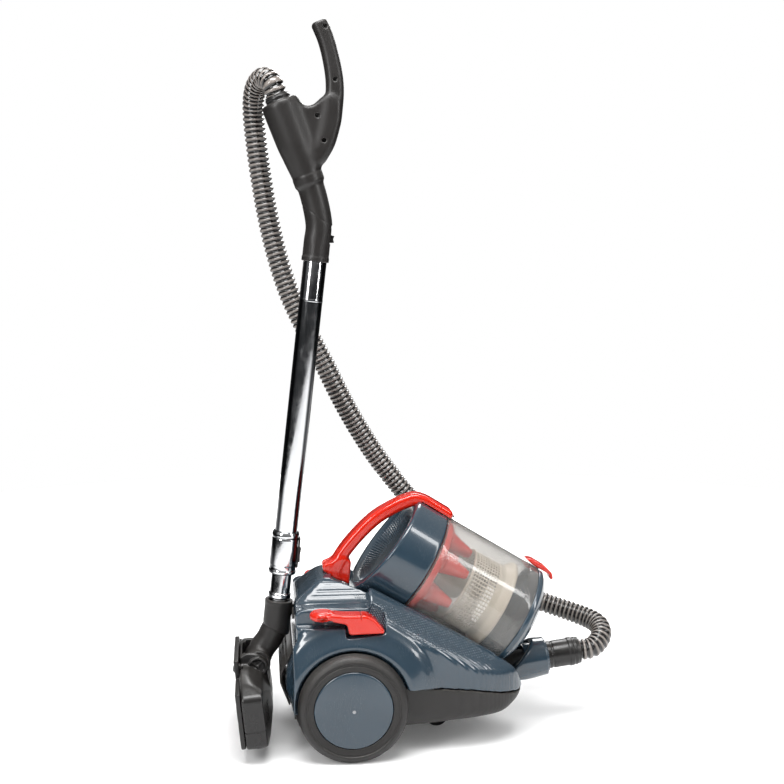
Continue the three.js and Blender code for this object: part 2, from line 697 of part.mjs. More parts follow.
function binBody() {
  const tube = ring(BIN_RADIUS - BIN_WALL, BIN_RADIUS, RUNNING_GAP, BIN_LENGTH, 36, BIN_AXIS);
  const port = disc(DUCT_RADIUS, -BIN_RADIUS - 3, -BIN_RADIUS + 10, 24, ductFrame());
  const hingeSeat = block([BIN_LENGTH - 6, BIN_LENGTH - 1], [-14, 14],
    [-BIN_RADIUS - 3, -BIN_RADIUS + 1], BIN);
  add("bin_cylinder", cut(join(tube, hingeSeat), port), CLEAR);
  const insideRadius = BIN_RADIUS - BIN_WALL - FIT_GAP;
  const band = [[insideRadius - 5, 4], [insideRadius, 4], [insideRadius, 9], [insideRadius - 2, 9],
    [insideRadius - 2, 13],
    [insideRadius - 5, 13], [insideRadius - 5, 4]];
  add("bin_ring", turned(band, 32, BIN_AXIS), RED);
  // The cyclone block: a plate that closes the ring, with a crown of small cones under it.
  const cones = Array.from({ length: CONES }, (_, i) => {
    const angle = (i * 2 * Math.PI) / CONES;
    const at = new THREE.Matrix4().makeTranslation(49 * Math.cos(angle), 49 * Math.sin(angle), 0);
    const cone = [[0, 5], [17, 5], [17, 20], [7, 62], [0, 62]];
    return turned(cone, 8, BIN_AXIS.clone().multiply(at));
  });
  const top = ring(CORE_RADIUS + FIT_GAP, insideRadius - 5 - FIT_GAP, 5, 12, 32, BIN_AXIS);
  const hub = disc(CORE_RADIUS + FIT_GAP, 0, 70, 24, BIN_AXIS);
  add("cyclone_cones", join(top, ...cones).subtract(hub), RED);
  add("bin_core", turned([[0, 5], [CORE_RADIUS, 5], [CORE_RADIUS, 60], [20, 76], [0, 80]], 24,
    BIN_AXIS), GREY);
  const shroud = [[SHROUD_RADIUS - 3, 65], [SHROUD_RADIUS, 65], [SHROUD_RADIUS, 118],
    [SHROUD_RADIUS + 12, 128], [SHROUD_RADIUS + 12, 131],
    [SHROUD_RADIUS - 3, 121], [SHROUD_RADIUS - 3, 65]];
  const spokes = [0, 1, 2, 3].map((i) => {
    const turn = new THREE.Matrix4().makeRotationZ((i * Math.PI) / 4);
    return block([-SHROUD_RADIUS, SHROUD_RADIUS], [-2, 2], [108, 116], BIN_AXIS.clone().multiply(turn));
  });
  add("cyclone_shroud", join(turned(shroud, 28, BIN_AXIS), ...spokes), GREY);
}

// All that lies in front of the lid's slanted rear plane, moved forwards by shift.
function beforeRear(shift) {
  const outline = [[-LID_TOP + shift, LID_RADIUS], [-LID_BOTTOM + shift, -LID_RADIUS],
    [200, -LID_RADIUS - 40], [200, LID_RADIUS + 40]];
  const [top, bottom] = outline;
  const slope = (bottom[0] - top[0]) / (top[1] - bottom[1]);
  outline[0] = [top[0] - 40 * slope, top[1] + 40];
  outline[1] = [bottom[0] + 40 * slope, bottom[1] - 40];
  return slab(outline, -200, 200, BIN);
}

function lid() {
  const whole = disc(LID_RADIUS, -LID_BOTTOM - 10, 0, 36, BIN_AXIS).intersect(beforeRear(0));
  // The rear is a slanted bowl.
  const slant = Math.atan2(LID_BOTTOM - LID_TOP, 2 * LID_RADIUS);
  const middle = binPoint(-(LID_TOP + LID_BOTTOM) / 2, 0);
  const outward = vector(-Math.cos(slant), 0, Math.sin(slant)).transformDirection(BIN);
  const rear = frameAt(middle, outward);
  const bowl = turned([[0, -26], [30, -25], [52, -17], [66, -4], [72, 2], [72, 30], [0, 30]], 40, rear);
  const rim = turned([[74, 30], [74, 0.5], [100, -16], [100, 30], [74, 30]], 48, rear);
  const inside = disc(LID_RADIUS - 4, -24, 20, 32, BIN_AXIS);
  const buttonRoom = block([-32, 12], [-8.5, 8.5], [LID_RADIUS - 14, LID_RADIUS + 20], BIN);
  const body = cut(whole, bowl, rim, inside);
  add("bin_lid", cut(body, handleGrown(), buttonRoom), SLATE);
  const filter = disc(LID_RADIUS - 12, -20, -6, 32, BIN_AXIS);
  const grid = ring(LID_RADIUS - 12 + FIT_GAP, LID_RADIUS - 7.5, -22, -2, 32, BIN_AXIS);
  add("lid_filter", filter, FELT);
  add("filter_frame", grid, DARK);
}

// The middle line of the carrying handle.
function handleLine() {
  const points = [[-20, 233], [-17, 252], [-3, 276], [20, 303], [45, 325.5], [72, 341], [90, 348.5],
    [102, 351.5], [117, 347], [132, 338], [149, 327.5]];
  return points.map(([x, z]) => vector(x, 0, z));
}

function handleSolid() {
  return strap(handleLine(), HANDLE_WIDTH, HANDLE_THICK, 20);
}

function handleGrown() {
  return strap(handleLine(), HANDLE_WIDTH + 2 * FIT_GAP, HANDLE_THICK + 2 * FIT_GAP, 20);
}

function carryHandle() {
  const half = HANDLE_WIDTH / 2;
  const foot = slab(rounded([[-36.5, 247.6], [2.5, 226.2], [3.5, 262], [-12, 262], [-37, 257]], 2, 2),
    -half, half);
  const buttonSlot = block([-40, 20], [-8, 8], [LID_RADIUS - 10, LID_RADIUS + 4.2], BIN);
  const tube = disc(LID_RADIUS + FIT_GAP, -46, 90, 36, BIN_AXIS);
  const seat = slab([[-60, 259.6], [-37, 247.1], [6, 223.2], [6, 200], [-60, 200]], -40, 40);
  add("carry_handle", cut(join(handleSolid(), foot), buttonSlot, tube, seat), RED);
}

function handleButton() {
  const top = LID_RADIUS + 3.5;
  const tab = [[-30, LID_RADIUS - 2.8], [-1, LID_RADIUS - 2.8], [10, LID_RADIUS + 1.5], [10, top],
    [-30, top]];
  const tube = disc(BIN_RADIUS + RUNNING_GAP + BUTTON_TRAVEL, -0.5, 90, 36, BIN_AXIS);
  add("handle_button", cut(slab(tab, -7.5, 7.5, BIN), tube), GREY);
}

function binCap() {
  const start = BIN_LENGTH + RUNNING_GAP;
  const inner = BIN_RADIUS - 4;
  const profile = [
    [inner, start], [BIN_RADIUS + 1.5, start], [BIN_RADIUS + 1.5, start + 7],
      [BIN_RADIUS - 6, start + 14], [62, start + CAP_DOME - 4],
    [34, start + CAP_DOME], [0, start + CAP_DOME + 1], [0, start + CAP_DOME - 2],
      [33, start + CAP_DOME - 3],
    [60, start + CAP_DOME - 7], [inner - 3, start + 11], [inner, start + 6], [inner, start],
  ];
  const latchRoom = block([start - 10, start + CAP_DOME + 10], [-13, 13],
    [BIN_RADIUS - 7, BIN_RADIUS + 12], BIN);
  const hingeRoom = block([start - 3, start + 6], [-15, 15], [-BIN_RADIUS - 8, -BIN_RADIUS + 4], BIN);
  const knuckle = slab([[start, -BIN_RADIUS - 2.6], [start + 6, -BIN_RADIUS - 2.6],
    [start + 9, -BIN_RADIUS + 12], [start, -BIN_RADIUS + 12]], -11, 11, BIN);
  add("bin_flap", cut(join(cut(turned(profile, 32, BIN_AXIS), hingeRoom), knuckle), latchRoom), SLATE);
}

function binLatch() {
  const start = BIN_LENGTH;
  const outline = [
    [start - 22, BIN_RADIUS + 4], [start - 9, BIN_RADIUS + 1.2], [start + 20, BIN_RADIUS + 1.2],
      [start + 26, BIN_RADIUS - 5], [start + 30, BIN_RADIUS - 2],
    [start + 24, BIN_RADIUS + 5], [start + 8, BIN_RADIUS + 9], [start - 14, BIN_RADIUS + 9],
      [start - 23, BIN_RADIUS + 5],
  ];
  add("bin_latch", slab(rounded(outline, 2, 2), -11.5, 11.5, BIN), RED);
}

// ---------------------------------------------------------------- wand

function wandNeck() {
  const elbow = vector(HEAD_X + 17, 0, HEAD_Z + 30);
  const points = [wandPoint(0), wandPoint(-36), vector(-112.5, 0, 152), elbow,
    vector(HEAD_X + 7, 0, HEAD_Z + 17)];
  const outer = pipe(points, NECK_OUTER, 0, 8, 16);
  const rim = ring(INNER_TUBE_RADIUS + FIT_GAP, NECK_OUTER + 0.6, -4, 0, 24, WAND);
  const bore = disc(INNER_TUBE_RADIUS + FIT_GAP, -34, 5, 24, WAND);
  const airway = pipe([wandPoint(-30), vector(-112.5, 0, 152), elbow,
    vector(HEAD_X + 5, 0, HEAD_Z + 12)], 13, 0, 5, 8);
  const knuckle = disc(19, -26, 26, 24, acrossAt(HEAD_X, HEAD_Z));
  const caps = disc(14, -31, 31, 24, acrossAt(HEAD_X, HEAD_Z));
  const hook = block([NECK_X + 12, BODY_REAR + 22], [-4, 4], [BRACKET_Z + 4, BRACKET_Z + 14]);
  const pinHole = disc(HEAD_PIN_RADIUS + 0.5, -60, 60, 20, acrossAt(HEAD_X, HEAD_Z));
  add("wand_neck", cut(join(outer, rim, knuckle, caps, hook), bore, airway, pinHole), BLACK);
}

function tubes() {
  const [start, end] = [INNER_TUBE_START, INNER_TUBE_START + INNER_TUBE_LENGTH];
  const bead = INNER_TUBE_RADIUS + 1.8;
  const inner = [
    [INNER_TUBE_RADIUS - TUBE_WALL, start],
    [INNER_TUBE_RADIUS, start],
    [INNER_TUBE_RADIUS, 3],
    [bead, 4],
    [bead, 11],
    [INNER_TUBE_RADIUS, 12],
    [INNER_TUBE_RADIUS, end],
    [INNER_TUBE_RADIUS - TUBE_WALL, end],
    [INNER_TUBE_RADIUS - TUBE_WALL, start],
  ];
  add("inner_tube", turned(inner, 24, WAND), CHROME);
  const bore = INNER_TUBE_RADIUS + RUNNING_GAP;
  const outer = ring(OUTER_TUBE_RADIUS - 0.9, OUTER_TUBE_RADIUS, COLLAR_START + 10, OUTER_TUBE_END + 20,
    24, WAND);
  add("outer_tube", outer, CHROME);
  const collar = [
    [bore - 0.4, COLLAR_START], [OUTER_TUBE_RADIUS + 2, COLLAR_START],
      [OUTER_TUBE_RADIUS + 3.5, COLLAR_START + 4],
    [OUTER_TUBE_RADIUS + 3.5, COLLAR_END - 8], [OUTER_TUBE_RADIUS + 1.8, COLLAR_END],
      [OUTER_TUBE_RADIUS + FIT_GAP, COLLAR_END],
    [OUTER_TUBE_RADIUS + FIT_GAP, COLLAR_START + 9], [bore - 0.4, COLLAR_START + 9],
      [bore - 0.4, COLLAR_START],
  ];
  const pocket = block([OUTER_TUBE_RADIUS + 1, 40], [-6.5, 6.5], [COLLAR_START + 15, COLLAR_END - 12],
    WAND);
  const guide = block([OUTER_TUBE_RADIUS + 0.6, OUTER_TUBE_RADIUS + 5], [-9, 9],
    [COLLAR_START + 10, COLLAR_END - 8], WAND);
  add("tube_collar", cut(join(turned(collar, 24, WAND), guide), pocket), CHROME);
  const slider = [
    [OUTER_TUBE_RADIUS + 1.6, COLLAR_START + 17], [OUTER_TUBE_RADIUS + 8, COLLAR_START + 19],
      [OUTER_TUBE_RADIUS + 7, COLLAR_START + 29],
    [OUTER_TUBE_RADIUS + 8, COLLAR_START + 40], [OUTER_TUBE_RADIUS + 1.6, COLLAR_START + 42],
  ];
  add("tube_slider", slab(rounded(slider, 1.5, 2), -5.8, 5.8, WAND), DARK);
}

// ---------------------------------------------------------------- hose handle

// A point of the hose handle, from the upper end of the wand's outer tube.
const handlePoint = (x, z) => vector(WAND_END_X + x, 0, WAND_END_Z + z);
const HANDLE_BEND = [handlePoint(-0.9, 89.3), handlePoint(-11.7, 124.1), handlePoint(-18.9, 143.3)];

// The bent tube of the hose handle, from the wand up into the socket, made wider by extra.
function handleTubeSolid(extra) {
  const points = [wandPoint(OUTER_TUBE_END - 2), wandPoint(OUTER_TUBE_END + 26),
    wandPoint(OUTER_TUBE_END + 52), ...HANDLE_BEND];
  const flare = [[0, -112], [19.5, -112], [20.5, -100], [20.5, -92], [24.6, -82], [24.6, -4],
    [25.6, -3], [25.6, 0]];
  const grown = flare.map(([r, z], i) => [i === 0 ? 0 : r + extra, z]);
  return join(pipe(points, SLEEVE_RADIUS + extra, 0, 8, 16), turned([...grown, [0, 0]], 20, SOCKET));
}

function handleTube() {
  const bore = disc(OUTER_TUBE_RADIUS + FIT_GAP, OUTER_TUBE_END - 8, OUTER_TUBE_END + 22, 24, WAND);
  const socketLow = vector(0, 0, -86).applyMatrix4(SOCKET);
  const route = [wandPoint(OUTER_TUBE_END + 10), wandPoint(OUTER_TUBE_END + 52),
    ...HANDLE_BEND.slice(0, 2), socketLow];
  const airway = pipe(route, 14, 0, 6, 8);
  const cuffBore = disc(CUFF_RADIUS + FIT_GAP, -60, 10, 20, SOCKET);
  const mouth = disc(14, -100, 4, 8, SOCKET);
  const slot = block([16.5, 30], [-5.5, 5.5], [OUTER_TUBE_END + 26, OUTER_TUBE_END + 52], WAND);
  add("handle_tube", cut(handleTubeSolid(0), bore, airway, cuffBore, mouth, slot), BLACK);
  const cuff = [
    [HOSE_RADIUS - 3, -56], [CUFF_RADIUS, -56], [CUFF_RADIUS, -2], [HOSE_RADIUS + 1.4, 10],
      [HOSE_RADIUS - 3, 10],
    [HOSE_RADIUS - 3, -56],
  ];
  add("hose_cuff", turned(cuff, 20, SOCKET), DARK);
}

// The middle line of the open grip above the hose's socket.
function gripLine() {
  const points = [[6.1, 150.3], [17.1, 170.3], [24.1, 197.3], [28.6, 224.3], [29.6, 251.3], [26.1, 278.3],
    [17.6, 312.3], [7.1, 337.3]];
  return points.map(([x, z]) => handlePoint(x, z));
}

function handgrip() {
  const main = strap(gripLine(), GRIP_WIDTH, GRIP_THICK, 14);
  const web = [
    [-7.9, 140.3], [4.1, 142.3], [20.1, 166.3], [34.1, 199.3], [30.1, 229.3], [11.1, 232.3],
      [-2.9, 219.3], [-17.9, 224.3],
      [-27.9, 238.3], [-33.9, 229.3],
    [-15.9, 174.3],
  ].map(([x, z]) => [WAND_END_X + x, WAND_END_Z + z]);
  const root = slab(rounded(web, 5, 2), -14, 14);
  add("handgrip", cut(join(main, root), handleTubeSolid(FIT_GAP)), BLACK);
  const low = OUTER_TUBE_END + 27;
  const slide = [[17.4, low], [24.5, low + 1], [22.5, low + 6], [24, low + 11], [17.4, low + 12]];
  add("suction_slider", slab(rounded(slide, 1, 2), -4.8, 4.8, WAND), DARK);
}

// ---------------------------------------------------------------- floor head, hanging with its sole to the rear

function headHousing() {
  const half = HEAD_WIDTH / 2;
  const profile = [
    [SOLE_X + FIT_GAP, HEAD_LOW + 3], [-6, HEAD_LOW], [3, HEAD_LOW + 6], [10, HEAD_LOW + 36],
      [9, HEAD_LOW + 60],
    [2, HEAD_HIGH - 14], [-14, HEAD_HIGH], [SOLE_X + FIT_GAP, HEAD_HIGH + 2],
  ];
  const profiled = slab(rounded(profile, 5, 2), -half, half, HEAD);
  // Seen from the front the head narrows towards its ends at the back edge.
  const outline = [
    [-half, HEAD_LOW + 8], [-half + 10, HEAD_LOW - 1], [half - 10, HEAD_LOW - 1], [half, HEAD_LOW + 8],
    [half, HEAD_HIGH - 18], [half - 22, HEAD_HIGH - 4], [60, HEAD_HIGH + 8], [-60, HEAD_HIGH + 8],
    [-half + 22, HEAD_HIGH - 4], [-half, HEAD_HIGH - 18],
  ];
  const front = bar(rounded(outline, 8, 2), -60, 60, HEAD);
  const tower = slab(rounded([[SOLE_X + FIT_GAP, -40], [12, -44], [14, 6], [4, 18], [-14, 22],
    [SOLE_X + FIT_GAP, 18]], 6, 2), -38, 38, HEAD);
  const knuckleRoom = disc(20, -26.6, 26.6, 24, HEAD_PIVOT);
  const capRoom = disc(15, -31.8, 31.8, 24, HEAD_PIVOT);
  const neckRoom = slab([[-21, 4], [-21, 60], [50, 60], [50, -34], [0, -26]], -27, 27, HEAD);
  const capSlot = slab([[-16, 0], [-16, 60], [50, 60], [50, -24], [0, -15]], -31.8, 31.8, HEAD);
  const hollow = slab(rounded([[SOLE_X - 1, HEAD_LOW + 8], [-4, HEAD_LOW + 5], [4, HEAD_LOW + 36],
    [-6, HEAD_HIGH - 40], [SOLE_X - 1, HEAD_HIGH - 36]], 3, 1), -half + 6, half - 6, HEAD);
  const pedalSlot = block([-1 - 6, 20], [-24, 24], [-60, -42], HEAD);
  const pin = disc(HEAD_PIN_RADIUS, -38.2, 38.2, 20, HEAD_PIVOT);
  const rollerRooms = ROLLER_SIDES.map((side) => roller(side, RUNNING_GAP));
  const casing = join(profiled.intersect(front), tower);
  const body = cut(casing, knuckleRoom, capRoom, neckRoom, capSlot, hollow, pedalSlot, ...rollerRooms);
  add("head_housing", join(body, pin), BLACK);
}

function headSole() {
  const half = HEAD_WIDTH / 2 - 3;
  const outer = [SOLE_X - SOLE_THICK, SOLE_X];
  const panel = block(outer, [-half, half], [HEAD_LOW + 4, HEAD_HIGH + 16], HEAD);
  const cornerCut = [-1, 1].map((side) => {
    const span = [60 * side, 200 * side].sort((a, b) => a - b);
    return block([SOLE_X - 20, SOLE_X + 5], span, [HEAD_HIGH - 10, HEAD_HIGH + 40], HEAD);
  });
  const mouth = block([SOLE_X - 20, SOLE_X + 5], [-100, 100], [HEAD_LOW + 26, HEAD_LOW + 42], HEAD);
  const stripSeats = [HEAD_LOW + 16, HEAD_LOW + 50].map((z) =>
    block([SOLE_X - SOLE_THICK - 1, SOLE_X - SOLE_THICK + 2.6], [-92, 92], [z - 4.5, z + 4.5], HEAD));
  const brushSlot = block([SOLE_X - 20, SOLE_X + 5], [-106, 106], [HEAD_LOW + 60, HEAD_LOW + 66], HEAD);
  const rollerRoom = ROLLER_SIDES.map((side) => roller(side, RUNNING_GAP));
  add("head_sole", cut(panel, ...cornerCut, mouth, ...stripSeats, brushSlot, ...rollerRoom), DARK);
  ["front", "rear"].forEach((name, i) => {
    const z = HEAD_LOW + [16, 50][i];
    const strip = block([SOLE_X - SOLE_THICK - 1.5, SOLE_X - SOLE_THICK + 2.2], [-91.5, 91.5],
      [z - 4, z + 4], HEAD);
    add(`lint_strip_${name}`, strip, FLOCK);
  });
  const bristles = block([SOLE_X - SOLE_THICK - 1, SOLE_X - 1], [-105, 105],
    [HEAD_LOW + 61, HEAD_LOW + 65], HEAD);
  add("brush_strip", bristles, DARK);
  for (const side of ROLLER_SIDES) add(side < 0 ? "roller_right" : "roller_left", roller(side, 0), RUBBER);
}

// One of the small rollers in the sole, made larger all round by extra.
function roller(side, extra) {
  const at = vector(SOLE_X - SOLE_THICK / 2 + 0.5, side * 48, HEAD_HIGH + 1).applyMatrix4(HEAD);
  return disc(ROLLER_RADIUS + extra, -5 - extra, 5 + extra, 20, frameAt(at, vector(0, 1, 0)));
}

function headPedal() {
  const outline = [[-1, -59], [11, -59], [13, -54], [12, -50], [11, -43.5], [-1, -43.5]];
  add("head_pedal", slab(rounded(outline, 1.5, 2), -23, 23, HEAD), DARK);
}

// ---------------------------------------------------------------- hose

function hoseConnector() {
  const r = CONNECTOR_RADIUS;
  const end = CONNECTOR_LENGTH;
  const profile = [
    [HOSE_RADIUS - 2, -16], [r, -16], [r, 34], [r + 1, 35], [r + 1, 40], [r - 1, end],
      [HOSE_RADIUS - 2, end], [HOSE_RADIUS - 2, -16],
  ];
  add("hose_connector", turned(profile, 24, INLET), DARK);
}

// The hose leaves the connector at the canister's front, turns back along the far side,
// climbs behind the bin and comes over into the handle's socket. The climb's points are
// taken from the canister's axle, the last ones from the socket.
function hoseRoute() {
  const start = vector(0, 0, CONNECTOR_LENGTH + FIT_GAP).applyMatrix4(INLET);
  const leave = vector(0, 0, CONNECTOR_LENGTH + 20).applyMatrix4(INLET);
  const end = vector(0, 0, 10 + FIT_GAP).applyMatrix4(SOCKET);
  const approach = vector(0, 0, 26).applyMatrix4(SOCKET);
  const out = [[89, 14, 22], [91, 40, 34], [66, 66, 43], [16, 92, 57]];
  const climb = [[262, 116, 188], [200, 124, 232], [142, 120, 292], [91, 108, 350], [47, 100, 410],
    [4, 85, 483], [-27, 75, 546]];
  const over = [[15.9, 70, -281.5], [-10.1, 68, -195.5], [-25.1, 67, -115.5], [-34.1, 66, -45.5],
    [-37.1, 60, -2.5], [-33.1, 42, 24.5], [-21.1, 18, 35.5]];
  return [
    start,
    leave,
    ...out.map(([x, y, z]) => vector(INLET_X + x, y, INLET_Z + z)),
    ...climb.map(([x, y, z]) => vector(x, y, z)),
    ...over.map(([x, y, z]) => vector(SOCKET_X + x, y, SOCKET_Z + z)),
    approach,
    end,
  ];
}

function hose() {
  add("hose", pipe(hoseRoute(), HOSE_RADIUS, 0, HOSE_STEPS, 8), DARK);
}

// ---------------------------------------------------------------- assembly

housings();
motorAndFan();
cordReel();
hoseInlet();
rearGrille();
cordOutlet();
parkBracket();
wheel("right", -1);
wheel("left", 1);
caster();
pedal("power", -1);
pedal("rewind", 1);
binBody();
lid();
carryHandle();
handleButton();
binCap();
binLatch();
wandNeck();
tubes();
handleTube();
handgrip();
headHousing();
headSole();
headPedal();
hoseConnector();
hose();

// The origin is the middle of the underside of the object without its hose.
const extent = new THREE.Box3();
for (const mesh of vacuum.children) if (mesh.name !== "hose") extent.expandByObject(mesh);
const middle = extent.getCenter(new THREE.Vector3());
vacuum.position.set(-middle.x, -middle.y, -extent.min.z);

export default vacuum;
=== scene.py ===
# %% [markdown]
# # A canister vacuum cleaner, parked on its own wand
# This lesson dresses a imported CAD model. The CAD nodes give places, sizes and joints, and they stay where they are.
# Each step below makes one real piece of the cleaner as a fine mesh, or gives a CAD node its real finish.
# All lengths in the script are millimetres, because moulds are drawn in them, and one function turns them into metres.

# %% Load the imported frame
import math

import bpy
import numpy as np
import openvdb
from mathutils import Matrix, Vector


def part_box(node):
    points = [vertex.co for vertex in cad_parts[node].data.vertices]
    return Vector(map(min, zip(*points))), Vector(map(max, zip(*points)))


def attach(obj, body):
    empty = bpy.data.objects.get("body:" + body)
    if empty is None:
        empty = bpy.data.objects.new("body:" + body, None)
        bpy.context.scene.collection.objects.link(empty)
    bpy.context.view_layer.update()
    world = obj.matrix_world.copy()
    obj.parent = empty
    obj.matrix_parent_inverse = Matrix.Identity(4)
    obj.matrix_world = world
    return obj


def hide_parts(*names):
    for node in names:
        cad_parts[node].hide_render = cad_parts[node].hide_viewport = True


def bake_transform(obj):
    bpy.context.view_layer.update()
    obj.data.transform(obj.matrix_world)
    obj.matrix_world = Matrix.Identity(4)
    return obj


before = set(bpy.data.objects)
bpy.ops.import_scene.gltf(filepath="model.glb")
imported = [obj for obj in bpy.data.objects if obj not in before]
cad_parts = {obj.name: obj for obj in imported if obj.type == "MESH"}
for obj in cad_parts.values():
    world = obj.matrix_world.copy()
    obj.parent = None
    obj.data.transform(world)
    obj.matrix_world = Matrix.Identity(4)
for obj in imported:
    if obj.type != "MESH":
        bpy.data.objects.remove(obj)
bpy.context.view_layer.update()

# %% [markdown]
# ## Two frames
# The drawing frame has its X zero at the rear axle, its Z zero on the floor, and +X towards the canister's front.
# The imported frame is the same, shifted along X. The hub of a rear wheel turns on the axle, so its middle gives the
# shift. A dust bin that leans by 31 degrees and a wand that leans by 6.5 are drawn in frames of their own.

# %% Drawing frame and tilted frames
hub_low, hub_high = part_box("hub_right")
SHIFT = (hub_low.x + hub_high.x) * 500


def metres(points):
    return (np.asarray(points, float) + (SHIFT, 0, 0)) * 0.001


def tilted(x, z, degrees):
    """A frame at (x, 0, z), turned about Y by that angle."""
    return np.array(Matrix.Translation((x, 0, z)) @ Matrix.Rotation(math.radians(degrees), 4, "Y"))


def placed(points, place):
    points = np.asarray(points, float).reshape(-1, 3)
    return points @ place[:3, :3].T + place[:3, 3]


WHEEL_RADIUS = 78.5
BIN_SLOPE = 31
WAND_LEAN = 6.5
BIN = tilted(108.8, 253.7, BIN_SLOPE)  # local X runs down the bin, local Z stands square on it
BIN_AXIS = BIN @ np.array(Matrix.Rotation(math.radians(90), 4, "Y"))  # local Z runs down the bin
WAND = tilted(-101.4, 203, WAND_LEAN)
INLET = tilted(306, 103, 90 - 7.6)
SOCKET = tilted(-93.9, 930.5, -20.7)
HEAD = tilted(-134, 113, -6)  # at the knuckle of the floor head
ACROSS = np.array(Matrix.Rotation(math.radians(-90), 4, "X"))  # local Z runs along +Y


def across(x, z):
    return np.array(Matrix.Translation((x, 0, z))) @ ACROSS


print("shift along X:", round(SHIFT, 2), "mm")

# %% [markdown]
# ## Camera
# The camera stands low on the cleaner's right side and a little behind it, two metres away. It is made first, so that
# each later piece can be judged in the picture at once. The view is level from left to right.

# %% Camera
CAMERA_PLACE = Vector((-0.2185, -1.8264, 0.718))
CAMERA_AZIMUTH = -6.0
CAMERA_DIP = 6.4
CAMERA_LENS, CAMERA_SENSOR = 57.4, 36
camera_data = bpy.data.cameras.new("camera")
camera_data.sensor_width = CAMERA_SENSOR
camera_data.lens = CAMERA_LENS
camera = bpy.data.objects.new("camera", camera_data)
bpy.context.scene.collection.objects.link(camera)
camera.location = CAMERA_PLACE
camera.rotation_euler = (math.radians(90 - CAMERA_DIP), 0, math.radians(CAMERA_AZIMUTH))
bpy.context.scene.camera = camera
print("camera lens:", camera_data.lens, "mm")

# %% [markdown]
# ## Floor and light
# A pale floor catches soft shadows. A broad light hangs overhead, a key light stands to the left of the camera, a
# narrow strip to its right draws long highlights on glossy mouldings, and a light behind lifts the outline.

# %% Floor
scene = bpy.context.scene
scene.view_settings.view_transform = "Standard"


def plain_mesh(name, corners, faces):
    mesh = bpy.data.meshes.new(name)
    mesh.from_pydata(corners, [], faces)
    piece = bpy.data.objects.new(name, mesh)
    scene.collection.objects.link(piece)
    return piece


FLOOR_RADIUS = 2.2
FLOOR_SIDES = 96
turns = [2 * math.pi * i / FLOOR_SIDES for i in range(FLOOR_SIDES)]
floor = plain_mesh(
    "floor", [(FLOOR_RADIUS * math.cos(t), FLOOR_RADIUS * math.sin(t), 0) for t in turns],
    [tuple(range(FLOOR_SIDES))]
)
paint = bpy.data.materials.new("floor_white")
paint.use_nodes = True
floor_tree = paint.node_tree
floor_shader = floor_tree.nodes["Principled BSDF"]
floor_shader.inputs["Base Color"].default_value = (0.9, 0.9, 0.9, 1)
floor_shader.inputs["Roughness"].default_value = 0.7
floor_shader.inputs["Emission Color"].default_value = (1, 1, 1, 1)
# The floor glows a little towards its rim, so that its edge is as white as what lies behind it.
floor_reach = floor_tree.nodes.new("ShaderNodeVectorMath")
floor_reach.operation = "LENGTH"
floor_tree.links.new(floor_tree.nodes.new("ShaderNodeTexCoord").outputs["Object"], floor_reach.inputs[0])
floor_glow = floor_tree.nodes.new("ShaderNodeMapRange")
floor_tree.links.new(floor_reach.outputs["Value"], floor_glow.inputs[0])
for key, value in {"From Min": 0.35, "From Max": 1.3, "To Min": 0.08, "To Max": 0.95}.items():
    floor_glow.inputs[key].default_value = value
floor_seen = floor_tree.nodes.new("ShaderNodeMath")
floor_seen.operation = "MULTIPLY"
floor_tree.links.new(floor_glow.outputs[0], floor_seen.inputs[0])
floor_tree.links.new(floor_tree.nodes.new("ShaderNodeLightPath").outputs["Is Camera Ray"], floor_seen.inputs[1])
floor_tree.links.new(floor_seen.outputs[0], floor_shader.inputs["Emission Strength"])
floor.data.materials.append(paint)

# The camera sees plain white. Everything else is lit by a softer studio: bright overhead, grey at the horizon.
world = bpy.data.worlds.new("studio")
world.use_nodes = True
w_tree = world.node_tree
w_out = w_tree.nodes["World Output"]
w_seen = w_tree.nodes["Background"]
w_seen.inputs["Color"].default_value = (1, 1, 1, 1)
w_seen.inputs["Strength"].default_value = 1.0
w_lit = w_tree.nodes.new("ShaderNodeBackground")
w_height = w_tree.nodes.new("ShaderNodeSeparateXYZ")
w_tree.links.new(w_tree.nodes.new("ShaderNodeTexCoord").outputs["Generated"], w_height.inputs[0])
w_ramp = w_tree.nodes.new("ShaderNodeValToRGB")
w_ramp.color_ramp.elements[0].position = 0.02
w_ramp.color_ramp.elements[0].color = (0.05, 0.052, 0.055, 1)
w_ramp.color_ramp.elements[1].position = 0.75
w_ramp.color_ramp.elements[1].color = (1, 1, 1, 1)
w_tree.links.new(w_height.outputs["Z"], w_ramp.inputs[0])
w_tree.links.new(w_ramp.outputs[0], w_lit.inputs["Color"])
w_lit.inputs["Strength"].default_value = 0.5
w_mix = w_tree.nodes.new("ShaderNodeMixShader")
w_tree.links.new(w_tree.nodes.new("ShaderNodeLightPath").outputs["Is Camera Ray"], w_mix.inputs[0])
w_tree.links.new(w_lit.outputs[0], w_mix.inputs[1])
w_tree.links.new(w_seen.outputs[0], w_mix.inputs[2])
w_tree.links.new(w_mix.outputs[0], w_out.inputs["Surface"])
scene.world = world


# %% Lights
def soft_light(name, place, target, width, height, watts):
    data = bpy.data.lights.new(name, "AREA")
    data.shape = "RECTANGLE"
    data.size = width
    data.size_y = height
    data.energy = watts
    light = bpy.data.objects.new(name, data)
    scene.collection.objects.link(light)
    light.location = place
    light.rotation_euler = (Vector(target) - Vector(place)).to_track_quat("-Z", "Y").to_euler()
    return light


soft_light("overhead", (-0.25, -0.75, 2.3), (0, 0, 0.2), 1.5, 0.9, 52)
soft_light("key", (-1.7, -1.7, 1.5), (0, 0, 0.3), 0.5, 1.3, 30)
soft_light("strip", (1.5, -1.2, 1.2), (0, 0, 0.25), 0.25, 1.5, 13)
soft_light("back", (0.5, 1.9, 2.0), (0, 0, 0.4), 1.4, 1.0, 36)

